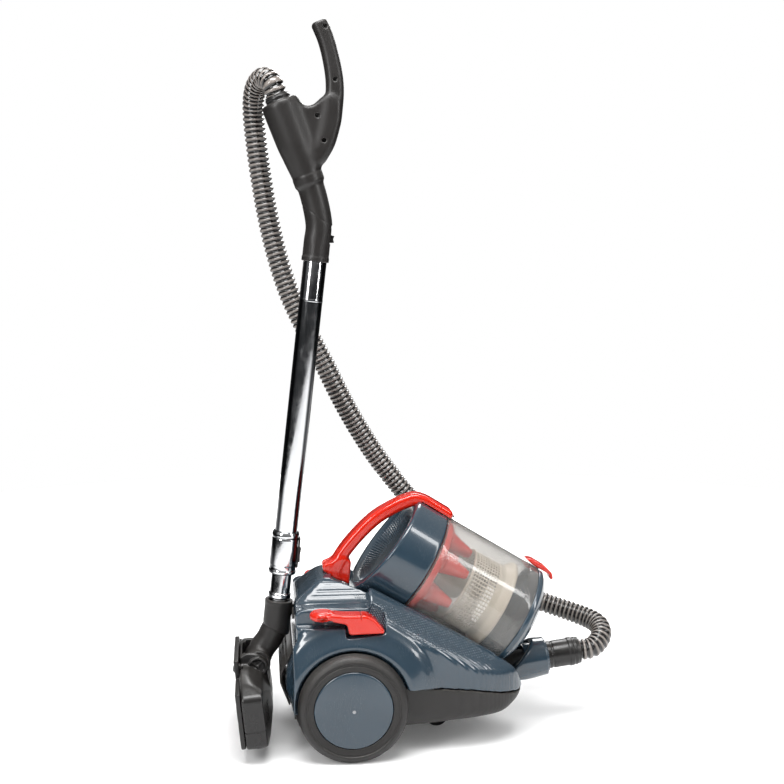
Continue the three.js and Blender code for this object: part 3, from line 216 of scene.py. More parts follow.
# %% [markdown]
# ## Shader groups
# Moulded plastic looks real through small things: a spark-eroded grain, a paler line where corners have been rubbed,
# a little dust on what faces up, and patches where hands have changed the gloss. Several finishes share each of
# them, so each one is a node group with named inputs, built once.


# %% A way to write node trees
def socket(group, name, kind, direction, value=None):
    made = group.interface.new_socket(name=name, in_out=direction, socket_type=kind)
    if value is not None:
        made.default_value = value
    return made


def node(tree, kind, inputs=(), **settings):
    """A node with its settings, and its inputs linked or set. inputs maps a socket to a value or to another socket."""
    made = tree.nodes.new(kind)
    for key, value in settings.items():
        setattr(made, key, value)
    for key, value in dict(inputs).items():
        if isinstance(value, bpy.types.NodeSocket):
            tree.links.new(value, made.inputs[key])
        else:
            made.inputs[key].default_value = value
    return made


def shader_group(name, inputs, outputs):
    group = bpy.data.node_groups.new(name, "ShaderNodeTree")
    for label, value in inputs.items():
        socket(group, label, "NodeSocketFloat", "INPUT", value)
    for label in outputs:
        socket(group, label, "NodeSocketFloat", "OUTPUT")
    return group, group.nodes.new("NodeGroupInput").outputs, group.nodes.new("NodeGroupOutput").inputs


def ramp(tree, value, low, high, to_low=0.0, to_high=1.0):
    made = node(tree, "ShaderNodeMapRange", {0: value, 1: low, 2: high, 3: to_low, 4: to_high})
    return made.outputs[0]


def maths(tree, operation, first, second=0.0):
    return node(tree, "ShaderNodeMath", {0: first, 1: second}, operation=operation).outputs[0]


def noise(tree, where, scale, detail=2.0, roughness=0.5):
    return node(
        tree, "ShaderNodeTexNoise", {"Vector": where, "Scale": scale, "Detail": detail, "Roughness": roughness}
    ).outputs["Fac"]


# %% Moulded grain
grain_group, g_in, g_out = shader_group(
    "moulded_grain", {"Grain Scale": 900.0, "Patch Scale": 12.0}, ["Height", "Patches"]
)
g_where = node(grain_group, "ShaderNodeTexCoord").outputs["Object"]
g_fine = noise(grain_group, g_where, g_in["Grain Scale"], 3.0, 0.6)
g_cells = node(
    grain_group, "ShaderNodeTexVoronoi", {"Vector": g_where, "Scale": g_in["Grain Scale"]}
).outputs["Distance"]
g_sum = maths(grain_group, "ADD", g_fine, maths(grain_group, "MULTIPLY", g_cells, 0.4))
grain_group.links.new(g_sum, g_out["Height"])
grain_group.links.new(noise(grain_group, g_where, g_in["Patch Scale"], 4.0, 0.62), g_out["Patches"])

# %% Rubbed edges
edge_group, e_in, e_out = shader_group("rubbed_edges", {"Sharpness": 12.0, "Break-up": 140.0}, ["Mask"])
e_point = node(edge_group, "ShaderNodeNewGeometry").outputs["Pointiness"]
e_lift = maths(edge_group, "MULTIPLY", maths(edge_group, "SUBTRACT", e_point, 0.52), e_in["Sharpness"])
e_where = node(edge_group, "ShaderNodeTexCoord").outputs["Object"]
e_broken = ramp(edge_group, noise(edge_group, e_where, e_in["Break-up"], 3.0), 0.38, 0.62)
e_mask = node(
    edge_group, "ShaderNodeMath", {0: e_lift, 1: e_broken}, operation="MULTIPLY", use_clamp=True
).outputs[0]
edge_group.links.new(e_mask, e_out["Mask"])

# %% Settled dust
dust_group, d_in, d_out = shader_group("settled_dust", {"Amount": 0.1}, ["Mask"])
d_up = node(
    dust_group, "ShaderNodeSeparateXYZ", {0: node(dust_group, "ShaderNodeNewGeometry").outputs["Normal"]}
).outputs["Z"]
d_where = node(dust_group, "ShaderNodeTexCoord").outputs["Object"]
d_specks = ramp(dust_group, noise(dust_group, d_where, 260.0, 5.0, 0.75), 0.5, 0.72)
d_clouds = ramp(dust_group, noise(dust_group, d_where, 9.0, 3.0), 0.35, 0.7)
d_mask = maths(
    dust_group, "MULTIPLY", ramp(dust_group, d_up, 0.15, 0.95), maths(dust_group, "ADD", d_specks, d_clouds)
)
dust_group.links.new(maths(dust_group, "MULTIPLY", d_mask, d_in["Amount"]), d_out["Mask"])

# %% Fine scratches
scratch_group, s_in, s_out = shader_group("fine_scratches", {"Scale": 60.0, "Stretch": 12.0}, ["Mask"])
s_where = node(scratch_group, "ShaderNodeTexCoord").outputs["Object"]
s_scale = node(scratch_group, "ShaderNodeCombineXYZ", {"X": s_in["Stretch"], "Y": 1.0, "Z": 1.0}).outputs[0]
s_turned = node(
    scratch_group, "ShaderNodeMapping", {"Vector": s_where, "Rotation": (0.3, 0.9, 0.5), "Scale": s_scale}
).outputs[0]
s_cells = node(
    scratch_group, "ShaderNodeTexVoronoi", {"Vector": s_turned, "Scale": s_in["Scale"]},
    feature="DISTANCE_TO_EDGE"
).outputs["Distance"]
s_line = ramp(scratch_group, s_cells, 0.0, 0.02, 1.0, 0.0)
scratch_group.links.new(
    maths(
        scratch_group, "MULTIPLY", s_line, ramp(scratch_group, noise(scratch_group, s_where, 25.0), 0.5, 0.62)
    ),
    s_out["Mask"],
)
print("groups:", [g.name for g in bpy.data.node_groups])

# %% [markdown]
# ## Finishes
# One function lays the groups into a Principled shader: colour with its rubbed edges and dust, a roughness that
# wanders, and a bump for the grain. Each finish below is one call with its own numbers.


# %% The moulded finish
def srgb(red, green, blue):
    return tuple((c / 255) ** 2.2 for c in (red, green, blue)) + (1,)


def add_group(tree, group, inputs=()):
    made = tree.nodes.new("ShaderNodeGroup")
    made.node_tree = group
    for key, value in dict(inputs).items():
        made.inputs[key].default_value = value
    return made.outputs


def mixed(tree, share, first, second):
    made = node(tree, "ShaderNodeMix", {0: share}, data_type="RGBA")
    for index, colour in ((6, first), (7, second)):
        if isinstance(colour, bpy.types.NodeSocket):
            tree.links.new(colour, made.inputs[index])
        else:
            made.inputs[index].default_value = colour
    return made.outputs[2]


def moulded(
    name, colour, rough, grain=900.0, depth=0.00004, worn=None, dust=0.06, scratch=0.0, vary=0.06, **sockets
):
    """A plastic, rubber or metal finish. rough is the middle roughness, depth the height of the grain in metres."""
    made = bpy.data.materials.new(name)
    made.use_nodes = True
    tree = made.node_tree
    shader = tree.nodes["Principled BSDF"]
    grained = add_group(tree, grain_group, {"Grain Scale": grain})
    scratches = add_group(tree, scratch_group)["Mask"]
    patched = mixed(
        tree, ramp(tree, grained["Patches"], 0.3, 0.7), colour, tuple(0.86 * c for c in colour[:3]) + (1,)
    )
    paler = worn or tuple(min(1, 1.5 * c + 0.03) for c in colour[:3]) + (1,)
    edged = mixed(tree, add_group(tree, edge_group)["Mask"], patched, paler)
    dusty = mixed(tree, add_group(tree, dust_group, {"Amount": dust})["Mask"], edged, srgb(196, 190, 180))
    tree.links.new(dusty, shader.inputs["Base Color"])
    wandering = ramp(tree, grained["Patches"], 0.3, 0.7, rough - vary, rough + vary)
    scratched = maths(tree, "ADD", wandering, maths(tree, "MULTIPLY", scratches, scratch))
    tree.links.new(scratched, shader.inputs["Roughness"])
    bump = node(tree, "ShaderNodeBump", {"Height": grained["Height"], "Distance": depth, "Strength": 1.0})
    tree.links.new(bump.outputs[0], shader.inputs["Normal"])
    for key, value in sockets.items():
        shader.inputs[key.replace("_", " ").title().replace("Ior", "IOR")].default_value = value
    return made


slate_gloss = moulded(
    "slate_gloss", srgb(46, 62, 74), 0.2, 700.0, 0.000008, dust=0.04, scratch=0.2, vary=0.05, coat_weight=0.7,
    coat_roughness=0.04
)
red_gloss = moulded(
    "red_gloss", srgb(206, 34, 0), 0.2, 700.0, 0.000008, worn=srgb(225, 64, 26), dust=0.0, scratch=0.2,
    coat_weight=0.5, coat_roughness=0.05
)
black_grained = moulded(
    "black_grained", srgb(37, 35, 34), 0.4, 1500.0, 0.00005, worn=srgb(74, 70, 66), dust=0.05
)
dark_satin = moulded("dark_satin", srgb(30, 29, 29), 0.32, 1300.0, 0.00003, worn=srgb(66, 64, 62), dust=0.05)
grey_cyclone = moulded("grey_cyclone", srgb(176, 170, 158), 0.45, 900.0, 0.00003, dust=0.25)
tyre_rubber = moulded("tyre_rubber", srgb(35, 33, 32), 0.46, 800.0, 0.00005, worn=srgb(62, 60, 58), dust=0.08)
hose_plastic = moulded(
    "hose_plastic", srgb(128, 121, 116), 0.16, 600.0, 0.00002, dust=0.0, coat_weight=0.5, coat_roughness=0.08
)
# A point attribute mixes the ribs' colour: the crests take the light grey above as a painted highlight, and the
# grooves go near black as painted shade.
h_tree = hose_plastic.node_tree
h_rib_painted_light = node(h_tree, "ShaderNodeAttribute", attribute_name="rib_painted_light").outputs["Fac"]
h_old = h_tree.nodes["Principled BSDF"].inputs["Base Color"].links[0].from_socket
h_tree.links.new(
    mixed(h_tree, h_rib_painted_light, srgb(14, 13, 13), h_old), h_tree.nodes["Principled BSDF"].inputs["Base Color"]
)
turned_steel = moulded("turned_steel", srgb(170, 170, 172), 0.35, 1200.0, 0.00003, dust=0.1, metallic=1.0)
print("finishes:", [m.name for m in bpy.data.materials])

# %% [markdown]
# ## Chrome
# A drawn tube has faint lines along its length from the die, and faint fingerprints. The lines are noise stretched
# a hundred times along Z; they only tilt the surface a little, so that reflections break into fine streaks.

# %% Chrome
chrome = bpy.data.materials.new("drawn_chrome")
chrome.use_nodes = True
c_tree = chrome.node_tree
c_shader = c_tree.nodes["Principled BSDF"]
c_shader.inputs["Metallic"].default_value = 1.0
c_where = node(c_tree, "ShaderNodeTexCoord").outputs["Object"]
c_drawn = node(c_tree, "ShaderNodeMapping", {"Vector": c_where, "Scale": (900.0, 900.0, 6.0)}).outputs[0]
c_lines = noise(c_tree, c_drawn, 1.0, 2.0)
c_prints = noise(c_tree, c_where, 55.0, 5.0, 0.7)
c_bright = mixed(c_tree, c_prints, (0.6, 0.61, 0.63, 1), (0.8, 0.81, 0.82, 1))
# Painted reflection: two dark bands between the tube's middle and its edges, set in its colour by the viewing angle.
c_facing = node(c_tree, "ShaderNodeLayerWeight", {"Blend": 0.5}).outputs["Facing"]
c_painted_reflection_bands = maths(
    c_tree, "MULTIPLY", ramp(c_tree, c_facing, 0.18, 0.3), ramp(c_tree, c_facing, 0.5, 0.78, 1.0, 0.25)
)
c_tree.links.new(mixed(c_tree, c_painted_reflection_bands, c_bright, (0.05, 0.052, 0.056, 1)), c_shader.inputs["Base Color"])
c_tree.links.new(ramp(c_tree, c_prints, 0.35, 0.75, 0.07, 0.2), c_shader.inputs["Roughness"])
c_bump = node(c_tree, "ShaderNodeBump", {"Height": c_lines, "Distance": 0.00002, "Strength": 0.6})
c_tree.links.new(c_bump.outputs[0], c_shader.inputs["Normal"])

# %% [markdown]
# ## Clear bin plastic
# The bin is a shell of clear, faintly warm plastic. It is glass to the eye, but a plain glass shader would leave its
# inside black, because lamps can't be sampled through it. So shadow rays meet a tinted transparent surface instead.

# %% Clear plastic
clear_plastic = bpy.data.materials.new("clear_plastic")
clear_plastic.use_nodes = True
p_tree = clear_plastic.node_tree
p_shader = p_tree.nodes["Principled BSDF"]
p_shader.inputs["Transmission Weight"].default_value = 0.93
p_shader.inputs["IOR"].default_value = 1.42
p_where = node(p_tree, "ShaderNodeTexCoord").outputs["Object"]
p_haze = noise(p_tree, p_where, 16.0, 4.0, 0.6)
p_tree.links.new(
    mixed(p_tree, p_haze, (0.84, 0.83, 0.81, 1), (0.72, 0.71, 0.69, 1)), p_shader.inputs["Base Color"]
)
p_tree.links.new(ramp(p_tree, p_haze, 0.3, 0.7, 0.05, 0.16), p_shader.inputs["Roughness"])
p_open = node(p_tree, "ShaderNodeBsdfTransparent", {"Color": (0.9, 0.88, 0.86, 1)})
p_rays = node(p_tree, "ShaderNodeLightPath")
p_either = maths(p_tree, "MAXIMUM", p_rays.outputs["Is Shadow Ray"], p_rays.outputs["Is Diffuse Ray"])
p_mix = node(p_tree, "ShaderNodeMixShader", {0: p_either, 1: p_shader.outputs[0], 2: p_open.outputs[0]})
p_tree.links.new(p_mix.outputs[0], p_tree.nodes["Material Output"].inputs["Surface"])

# %% Felt and flock
felt = moulded("filter_felt", srgb(226, 220, 208), 0.9, 420.0, 0.0004, dust=0.3, sheen_weight=0.4)
red_flock = moulded("red_flock", srgb(196, 34, 24), 0.9, 900.0, 0.0004, dust=0.1, sheen_weight=0.6)
bristle_black = moulded("bristle_black", srgb(34, 33, 32), 0.5, 900.0, 0.00005)

# %% [markdown]
# ## Tools for meshes
# Round parts are turned like wood on a lathe: a profile is given with its corners, and the tool rounds every corner a
# little before it spins it. Rounded corners matter more than anything else for realism, because they catch the light.


# %% Pieces from points and faces
def piece_from(name, points, faces, finish, body, replaces=(), place=None, flat=False):
    """A new object in metres from points in millimetres, riding on a CAD body."""
    if place is not None:
        points = placed(points, place)
    points = metres(points)
    mesh = bpy.data.meshes.new(name)
    faces = np.asarray(faces) if not isinstance(faces, list) else faces
    mesh.from_pydata(points.tolist(), [], faces if isinstance(faces, list) else faces.tolist())
    mesh.validate()
    mesh.polygons.foreach_set("use_smooth", [not flat] * len(mesh.polygons))
    mesh.materials.append(finish)
    made = bpy.data.objects.new(name, mesh)
    scene.collection.objects.link(made)
    if body:
        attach(made, body)
    if replaces:
        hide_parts(*replaces)
    print(f"{name}: {len(mesh.polygons)} faces")
    return made


def softened(profile, radius=0.6, steps=3, closed=False):
    """The polyline with each corner rounded."""
    points = [np.array(p[:2], float) for p in profile]
    radii = [p[2] if len(p) > 2 else radius for p in profile]
    count = len(points)
    made = [] if closed else [points[0]]
    for i in range(count) if closed else range(1, count - 1):
        here, before, after = points[i], points[i - 1], points[(i + 1) % count]
        reach = min(radii[i], np.linalg.norm(before - here) * 0.45, np.linalg.norm(after - here) * 0.45)
        if reach < 1e-3:
            made.append(here)
            continue
        start = here + (before - here) / np.linalg.norm(before - here) * reach
        end = here + (after - here) / np.linalg.norm(after - here) * reach
        for t in np.linspace(0, 1, steps + 1):
            made.append((1 - t) ** 2 * start + 2 * t * (1 - t) * here + t * t * end)
    if not closed:
        made.append(points[-1])
    return np.array(made)


def rings_to_faces(rings, sides, closed=False, wrap=True):
    """Quads between rings of equal size, laid one after the other."""
    rows = np.arange(rings if closed else rings - 1)
    columns = np.arange(sides if wrap else sides - 1)
    row, column = (a.ravel() for a in np.meshgrid(rows, columns, indexing="ij"))
    below, above = row * sides, ((row + 1) % rings) * sides
    nxt = (column + 1) % sides
    return np.stack([below + column, below + nxt, above + nxt, above + column], 1)


def turned_mesh(profile, sides=96, radius=0.6, steps=3, closed=False):
    """Points and faces of a profile of (radius, height) spun round local Z. Ends on the axis are closed by a fan."""
    profile = softened(profile, radius, steps, closed)
    angles = np.linspace(0, 2 * math.pi, sides, endpoint=False)
    circle = np.stack([np.cos(angles), np.sin(angles)], 1)
    poles = [] if closed else [i for i in (0, len(profile) - 1) if profile[i][0] < 1e-6]
    kept = [i for i in range(len(profile)) if i not in poles]
    points = [np.column_stack([circle * profile[i][0], np.full(sides, profile[i][1])]) for i in kept]
    faces = rings_to_faces(len(kept), sides, closed).tolist()
    for pole in poles:
        points.append(np.array([[0, 0, profile[pole][1]]]))
        tip = sum(len(p) for p in points) - 1
        base = 0 if pole == 0 else (len(kept) - 1) * sides
        fan = [[base + i, base + (i + 1) % sides, tip] for i in range(sides)]
        faces += [f[::-1] for f in fan] if pole == 0 else fan
    return np.vstack(points), faces


def turned(name, profile, place, finish, body, replaces=(), sides=96, radius=0.6, closed=False, steps=3):
    points, faces = turned_mesh(profile, sides, radius, steps, closed)
    return facing_out(piece_from(name, points, faces, finish, body, replaces, place))


def facing_out(made):
    """Turns every face outwards, by the sign of the volume."""
    mesh = made.data
    mesh.calc_loop_triangles()
    corners = np.zeros(len(mesh.loop_triangles) * 3, np.int32)
    mesh.loop_triangles.foreach_get("vertices", corners)
    points = np.zeros(len(mesh.vertices) * 3)
    mesh.vertices.foreach_get("co", points)
    a, b, c = points.reshape(-1, 3)[corners.reshape(-1, 3)].transpose(1, 0, 2)
    if np.einsum("ij,ij->", a, np.cross(b, c)) < 0:
        mesh.flip_normals()
    return made

# %% [markdown]
# ## Tools for moulded shapes
# A moulded housing has no straight edges: every face flows into the next one. The easiest way to get this is a
# distance field: a number at each point of space that says how far the nearest wall is, negative inside the plastic.
# Two fields join by taking the smaller one, and a soft minimum rounds the place where they meet. OpenVDB, which
# comes with Blender, then lays a mesh of small squares where the field is zero.


# %% Soft joins
def soft_min(a, b, k):
    """The union of two fields, with a fillet about k/2 wide in the corner."""
    return np.minimum(a, b) - np.maximum(k - np.abs(a - b), 0) ** 2 / (4 * k)


def soft_max(a, b, k):
    return -soft_min(-a, -b, k)


def cut_out(field, *tools, k=1.5):
    for tool in tools:
        field = soft_max(field, -tool, k)
    return field


def joined(field, *others, k=3.0):
    for other in others:
        field = soft_min(field, other, k)
    return field


# %% Fields of simple shapes
def flat(u, v, outline):
    """Distance to a closed outline in a plane, negative inside."""
    outline = np.asarray(outline, float)
    nearest, inside = np.inf, False
    for (au, av), (bu, bv) in zip(outline, np.roll(outline, -1, 0)):
        du, dv = bu - au, bv - av
        along = np.clip(((u - au) * du + (v - av) * dv) / (du * du + dv * dv + 1e-12), 0, 1)
        nearest = np.minimum(nearest, (u - au - along * du) ** 2 + (v - av - along * dv) ** 2)
        if av != bv:
            crosses = ((av > v) != (bv > v)) & (u < au + (v - av) * du / dv)
            inside = inside ^ crosses
    return np.where(inside, -1, 1) * np.sqrt(nearest)


def span(value, low, high):
    return np.maximum(low - value, value - high)


def brick(x, y, z, xs, ys, zs):
    return np.maximum(np.maximum(span(x, *xs), span(y, *ys)), span(z, *zs))


def away(u, v, at_u=0.0, at_v=0.0):
    """Distance from an axis."""
    return np.sqrt((u - at_u) ** 2 + (v - at_v) ** 2)


def rod(u, v, w, radius, low, high):
    return np.maximum(away(u, v) - radius, span(w, low, high))


def hose_field(x, y, z, points, radius):
    """Distance to a round tube along a polyline."""
    nearest = np.inf
    for a, b in zip(points[:-1], points[1:]):
        a, b = np.array(a, float), np.array(b, float)
        d = b - a
        px, py, pz = x - a[0], y - a[1], z - a[2]
        along = np.clip((px * d[0] + py * d[1] + pz * d[2]) / (d @ d), 0, 1)
        nearest = np.minimum(
            nearest, (px - along * d[0]) ** 2 + (py - along * d[1]) ** 2 + (pz - along * d[2]) ** 2
        )
    return np.sqrt(nearest) - radius


def local(place, x, y, z):
    """The coordinates of a point in a tilted frame."""
    turn, at = place[:3, :3], place[:3, 3]
    made = []
    for axis in turn.T:
        parts = [
            share * (value - start) for share, value, start in zip(axis, (x, y, z), at) if abs(share) > 1e-9
        ]
        made.append(sum(parts))
    return made


def bar_field(across, along, width, thick, corner):
    """A strap with rounded corners, from the distances to its middle line in two directions."""
    du, dv = across - (thick - corner), np.abs(along) - (width - corner)
    outside = np.sqrt(np.maximum(du, 0) ** 2 + np.maximum(dv, 0) ** 2)
    return outside + np.minimum(np.maximum(du, dv), 0) - corner


def smooth_line(points, steps=8):
    """Catmull-Rom points through a given line."""
    points = np.asarray(points, float)
    ends = np.vstack([2 * points[0] - points[1], points, 2 * points[-1] - points[-2]])
    made = []
    for i in range(1, len(ends) - 2):
        a, b, c, d = ends[i - 1], ends[i], ends[i + 1], ends[i + 2]
        for t in np.linspace(0, 1, steps, endpoint=False):
            made.append(
                0.5
                * (2 * b + (c - a) * t + (2 * a - 5 * b + 4 * c - d) * t**2 + (3 * b - a - 3 * c + d) * t**3)
            )
    return np.vstack([*made, points[-1]])


# %% A skin of small squares
def sampled(field, at):
    """The field between its grid points, and its slope."""
    def value(p):
        p = np.clip(p, 0, np.array(field.shape) - 1.001)
        base = p.astype(int)
        f = p - base
        total = 0
        for corner in np.ndindex(2, 2, 2):
            share = np.prod(np.where(corner, f, 1 - f), axis=1)
            total = total + share * field[tuple((base + corner).T)]
        return total

    steps = np.eye(3) * 0.6
    slope = np.stack([(value(at + s) - value(at - s)) / 1.2 for s in steps], 1)
    return value(at), slope


def skinned(name, make, low, high, pitch, finish, body, replaces=(), place=None):
    """Meshes the zero of a field. make(x, y, z) gets sparse coordinates in mm, in the frame place if one is given."""
    low = np.array(low, float)
    axes = [np.arange(a, b + pitch, pitch) for a, b in zip(low, high)]
    x, y, z = np.meshgrid(*axes, indexing="ij", sparse=True)
    field = np.ascontiguousarray(np.broadcast_to(make(x, y, z), [len(a) for a in axes]), dtype=np.float32)
    return field_to_piece(name, field, low, pitch, finish, body, replaces, place)


def field_to_piece(name, field, low, pitch, finish, body, replaces=(), place=None):
    grid = openvdb.FloatGrid(float(4 * pitch))
    grid.copyFromArray(field)
    points, quads = grid.convertToQuads(0.0)
    points = np.asarray(points, float)
    for _ in range(2):
        value, slope = sampled(field, points)
        steep = np.maximum((slope**2).sum(1), 0.05 * pitch**2)
        step = slope * (value / steep)[:, None]
        points -= np.clip(step, -0.5, 0.5)
    normal = sampled(field, points)[1]
    made = facing_out(
        piece_from(name, points * pitch + low, np.asarray(quads), finish, body, replaces, place)
    )
    normal /= np.maximum(np.linalg.norm(normal, axis=1), 1e-9)[:, None]
    if place is not None:
        normal = normal @ place[:3, :3].T
    made.data.normals_split_custom_set_from_vertices(normal.tolist())
    return made


def dress(name, finish, bevel=0.0005):
    """A CAD node that keeps its shape: welded, with its edges broken, in a real finish."""
    node_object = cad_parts[name]
    if "custom_normal" in node_object.data.attributes:
        node_object.data.attributes.remove(node_object.data.attributes["custom_normal"])
    node_object.modifiers.new("weld", "WELD").merge_threshold = 0.00001
    rounding = node_object.modifiers.new("edges", "BEVEL")
    rounding.width = bevel
    rounding.segments = 2
    rounding.limit_method = "ANGLE"
    rounding.angle_limit = math.radians(32)
    node_object.data.polygons.foreach_set("use_smooth", [True] * len(node_object.data.polygons))
    node_object.data.materials.clear()
    node_object.data.materials.append(finish)
    return node_object


print("mesh tools ready")

# %% [markdown]
# ## The hose
# The hose is a spiral of stiff wire wound in dark plastic. Seen closely it is a row of rounded ribs, seven and a half
# millimetres apart, and every rib carries its own short highlight. A smooth tube with a bump map loses its edge, so
# the ribs are modelled: the tube's radius swells and shrinks along a smooth route.

# %% The route
HOSE_RADIUS = 16
HOSE_PITCH = 7.4
CONNECTOR_LENGTH = 51


def on_axis(place, *heights):
    return [placed([0, 0, h], place)[0] for h in heights]


hose_route = [
    *on_axis(INLET, CONNECTOR_LENGTH + 0.4, CONNECTOR_LENGTH + 20),
    (395, 14, 125), (397, 40, 137), (372, 66, 146), (322, 92, 160),
    (262, 116, 188), (200, 124, 232), (142, 120, 292), (91, 108, 350), (47, 100, 410), (4, 85, 483),
    (-27, 75, 546),
    (-78, 70, 649), (-104, 68, 735), (-119, 67, 815), (-128, 66, 885), (-131, 60, 928), (-127, 42, 955),
    (-115, 18, 966),
    *on_axis(SOCKET, 26, 10.4),
]


def centripetal(points, count):
    """Points at even distances along a centripetal Catmull-Rom curve, the curve that the CAD hose follows."""
    points = [np.array(p, float) for p in points]
    ends = [2 * points[0] - points[1], *points, 2 * points[-1] - points[-2]]
    made = []
    for i in range(1, len(ends) - 2):
        p = ends[i - 1 : i + 3]
        knots = [0.0]
        for a, b in zip(p[:-1], p[1:]):
            knots.append(knots[-1] + np.linalg.norm(b - a) ** 0.5)
        for t in np.linspace(knots[1], knots[2], 40, endpoint=False):
            level = p
            for depth in range(1, 4):
                level = [
                    (
                        (knots[j + depth] - t) * level[j] + (t - knots[j]) * level[j + 1]
                    ) / (knots[j + depth] - knots[j])
                    for j in range(len(level) - 1)
                ]
            made.append(level[0])
    made = np.array([*made, points[-1]])
    run = np.concatenate([[0], np.cumsum(np.linalg.norm(np.diff(made, axis=0), axis=1))])
    even = np.linspace(0, run[-1], count)
    return np.stack([np.interp(even, run, made[:, k]) for k in range(3)], 1), run[-1]


# %% The ribbed tube
HOSE_SIDES = 36
RINGS_PER_RIB = 7
_, hose_length = centripetal(hose_route, 10)
ribs = round(hose_length / HOSE_PITCH)
hose_middle, _ = centripetal(hose_route, ribs * RINGS_PER_RIB + 1)


def swept(middle, radii, sides, twist=0.0):
    """Rings of points round a middle line, carried along without turning, and the quads between them."""
    ahead = np.gradient(middle, axis=0)
    ahead /= np.linalg.norm(ahead, axis=1)[:, None]
    side = np.cross(ahead[0], (0, 0, 1.0))
    rows = []
    for point, way, radius in zip(middle, ahead, radii):
        side = side - way * (side @ way)
        side /= np.linalg.norm(side)
        other = np.cross(way, side)
        angles = np.linspace(0, 2 * math.pi, sides, endpoint=False) + twist * len(rows)
        rows.append(point + radius * (np.outer(np.cos(angles), side) + np.outer(np.sin(angles), other)))
    return np.vstack(rows), rings_to_faces(len(middle), sides)


phase = np.arange(len(hose_middle)) / RINGS_PER_RIB * 2 * math.pi
dip = (0.5 - 0.5 * np.cos(phase)) ** 1.6
hose_radii = HOSE_RADIUS - 2.6 * dip
hose_points, hose_faces = swept(hose_middle, hose_radii, HOSE_SIDES)
ends = [list(range(HOSE_SIDES))[::-1], list(range(len(hose_points) - HOSE_SIDES, len(hose_points)))]
hose = facing_out(
    piece_from(
        "ribbed_hose", hose_points, hose_faces.tolist() + ends, hose_plastic, None, ["hose"]
    )
)
# Painted light along the hose: 1 on each rib's crest, where the highlight is painted, down to 0 in each groove, where
# the shade is painted.
rib_painted_light = hose.data.attributes.new("rib_painted_light", "FLOAT", "POINT")
rib_painted_light.data.foreach_set("value", np.repeat(np.clip(1.05 - 2.6 * dip, 0, 1), HOSE_SIDES).astype(np.float32))
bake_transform(hose)
print("hose:", round(float(hose_length)), "mm,", ribs, "ribs")

# %% [markdown]
# ## The two housings
# The slate upper housing is one big moulding: a hump behind the bin, a shoulder over each wheel that flares out into
# a lip, a trough for the bin and a nose for the hose. The black lower housing closes it from below along a seam.
# Both come from one field, the body's outer skin, so they meet exactly. The skin is hollowed to a 2.6 mm wall.

# %% Outlines of the body
REAR, HALF, FLOOR = -98, 112, 34  # rear end, half of the width and underside of the body
WALL = 2.6
SIDE_GAP = 2
BIN_RADIUS = 82
BIN_LENGTH = 160
LID_RADIUS = 84
LID_TOP, LID_BOTTOM = 52, 74  # how far the lid's rear reaches at its top and its bottom
TYRE_WIDTH = 28
HUB_RADIUS = 56
WELL_GAP = 2  # between a tyre and the lip over it
LIP_FLARE = 13
CASTER_X, CASTER_RADIUS, CASTER_TRAIL = 150, 17, 14
PAD_X, PEDAL_Y = -43, 113  # middle of a pedal's pad, middle of a pedal
OUTLET_Y, OUTLET_Z = -84, 56  # where the power cord comes out


def eased(outline, radius, steps=4):
    return softened([(*p[:2], p[2] if len(p) > 2 else radius) for p in outline], radius, steps, closed=True)


side_outline = eased(
    [
        (-72, 34), (223, 46), (254, 62), (264, 80), (252, 114), (231, 132), (24, 241), (-40, 247), (-80, 213),
        (-81, 150), (-96, 118), (-98, 100), (-82, 58)
    ],
    12,
)
half_plan = [
    (-99, 0), (-99, 90), (-84, 109), (-58, 112), (118, 112), (194, 101), (240, 82), (265, 48), (267, 0)
]
plan_outline = eased([(x, -y) for x, y in half_plan] + [(x, y) for x, y in half_plan[-2:0:-1]], 30)
half_rear = [(30, 0), (113, 0), (113, 203), (102, 213), (66, 215), (48, 241), (40, 248), (0, 252)]
rear_outline = eased([*half_rear, *[(-y, z) for y, z in half_rear[::-1] if y]], 8)
half_front = [(40, -300), (113, -300), (113, -84), (108, -78), (78, -51), (40, -44)]
front_outline = eased([*half_front, *[(-y, z) for y, z in half_front[::-1]]], 7)
seam = [(-160, 62), (-62, 64), (-40, 99), (80, 99), (126, 95), (174, 89), (221, 79), (268, 72), (330, 70)]
SEAM_JOINT = 26


# %% The body's outer skin and its cuts
def body_field(x, y, z):
    _, _, square = local(BIN, x, y, z)
    rear = soft_max(flat(y, z, rear_outline), x - SEAM_JOINT, 6)
    front = soft_max(flat(y, square, front_outline), SEAM_JOINT - x, 6)
    section = soft_min(rear, front, 6)
    return soft_max(soft_max(flat(x, z, side_outline), flat(x, y, plan_outline), 16), section, 10)


def trough_field(x, y, z, extra=0.0):
    u, v, w = local(BIN_AXIS, x, y, z)
    radius = BIN_RADIUS + 2.5 + extra
    main = rod(u, v, w, radius, -LID_BOTTOM - 34, BIN_LENGTH + 8)
    upper = rod(u, v, w, radius + 3, -LID_BOTTOM - 34, 2)
    lower = rod(u, v, w, radius + 5, BIN_LENGTH - 8 - extra, BIN_LENGTH + 90)
    return np.minimum(np.minimum(main, upper), lower)


def lip_field(x, y, z):
    well, inner = WHEEL_RADIUS + WELL_GAP, HALF - WALL
    outer = HALF + SIDE_GAP + LIP_FLARE
    profile = eased(
        [(well, inner), (well + 40, inner), (well + 32, HALF + 5), (well + 8, outer), (well, outer)], 3
    )
    ring = flat(away(x, z, 0, WHEEL_RADIUS), np.abs(y), profile)
    upper = flat(x, z, eased([(-84, 66), (60, 97), (150, 97), (150, 230), (-84, 230)], 6))
    return soft_max(ring, upper, 4)


def notch_field(x, y, z, extra=0.0):
    outline = eased([(-150, 190), (-9, 190), (-9, 177), (47, 181), (47, 260), (-150, 260)], 3)
    arm = soft_max(flat(x, z, outline), PEDAL_Y - 15 - np.abs(y), 3)
    pad = rod(x - PAD_X, np.abs(y) - PEDAL_Y, z, 18.5, 190, 260)
    return np.minimum(arm, pad) - extra


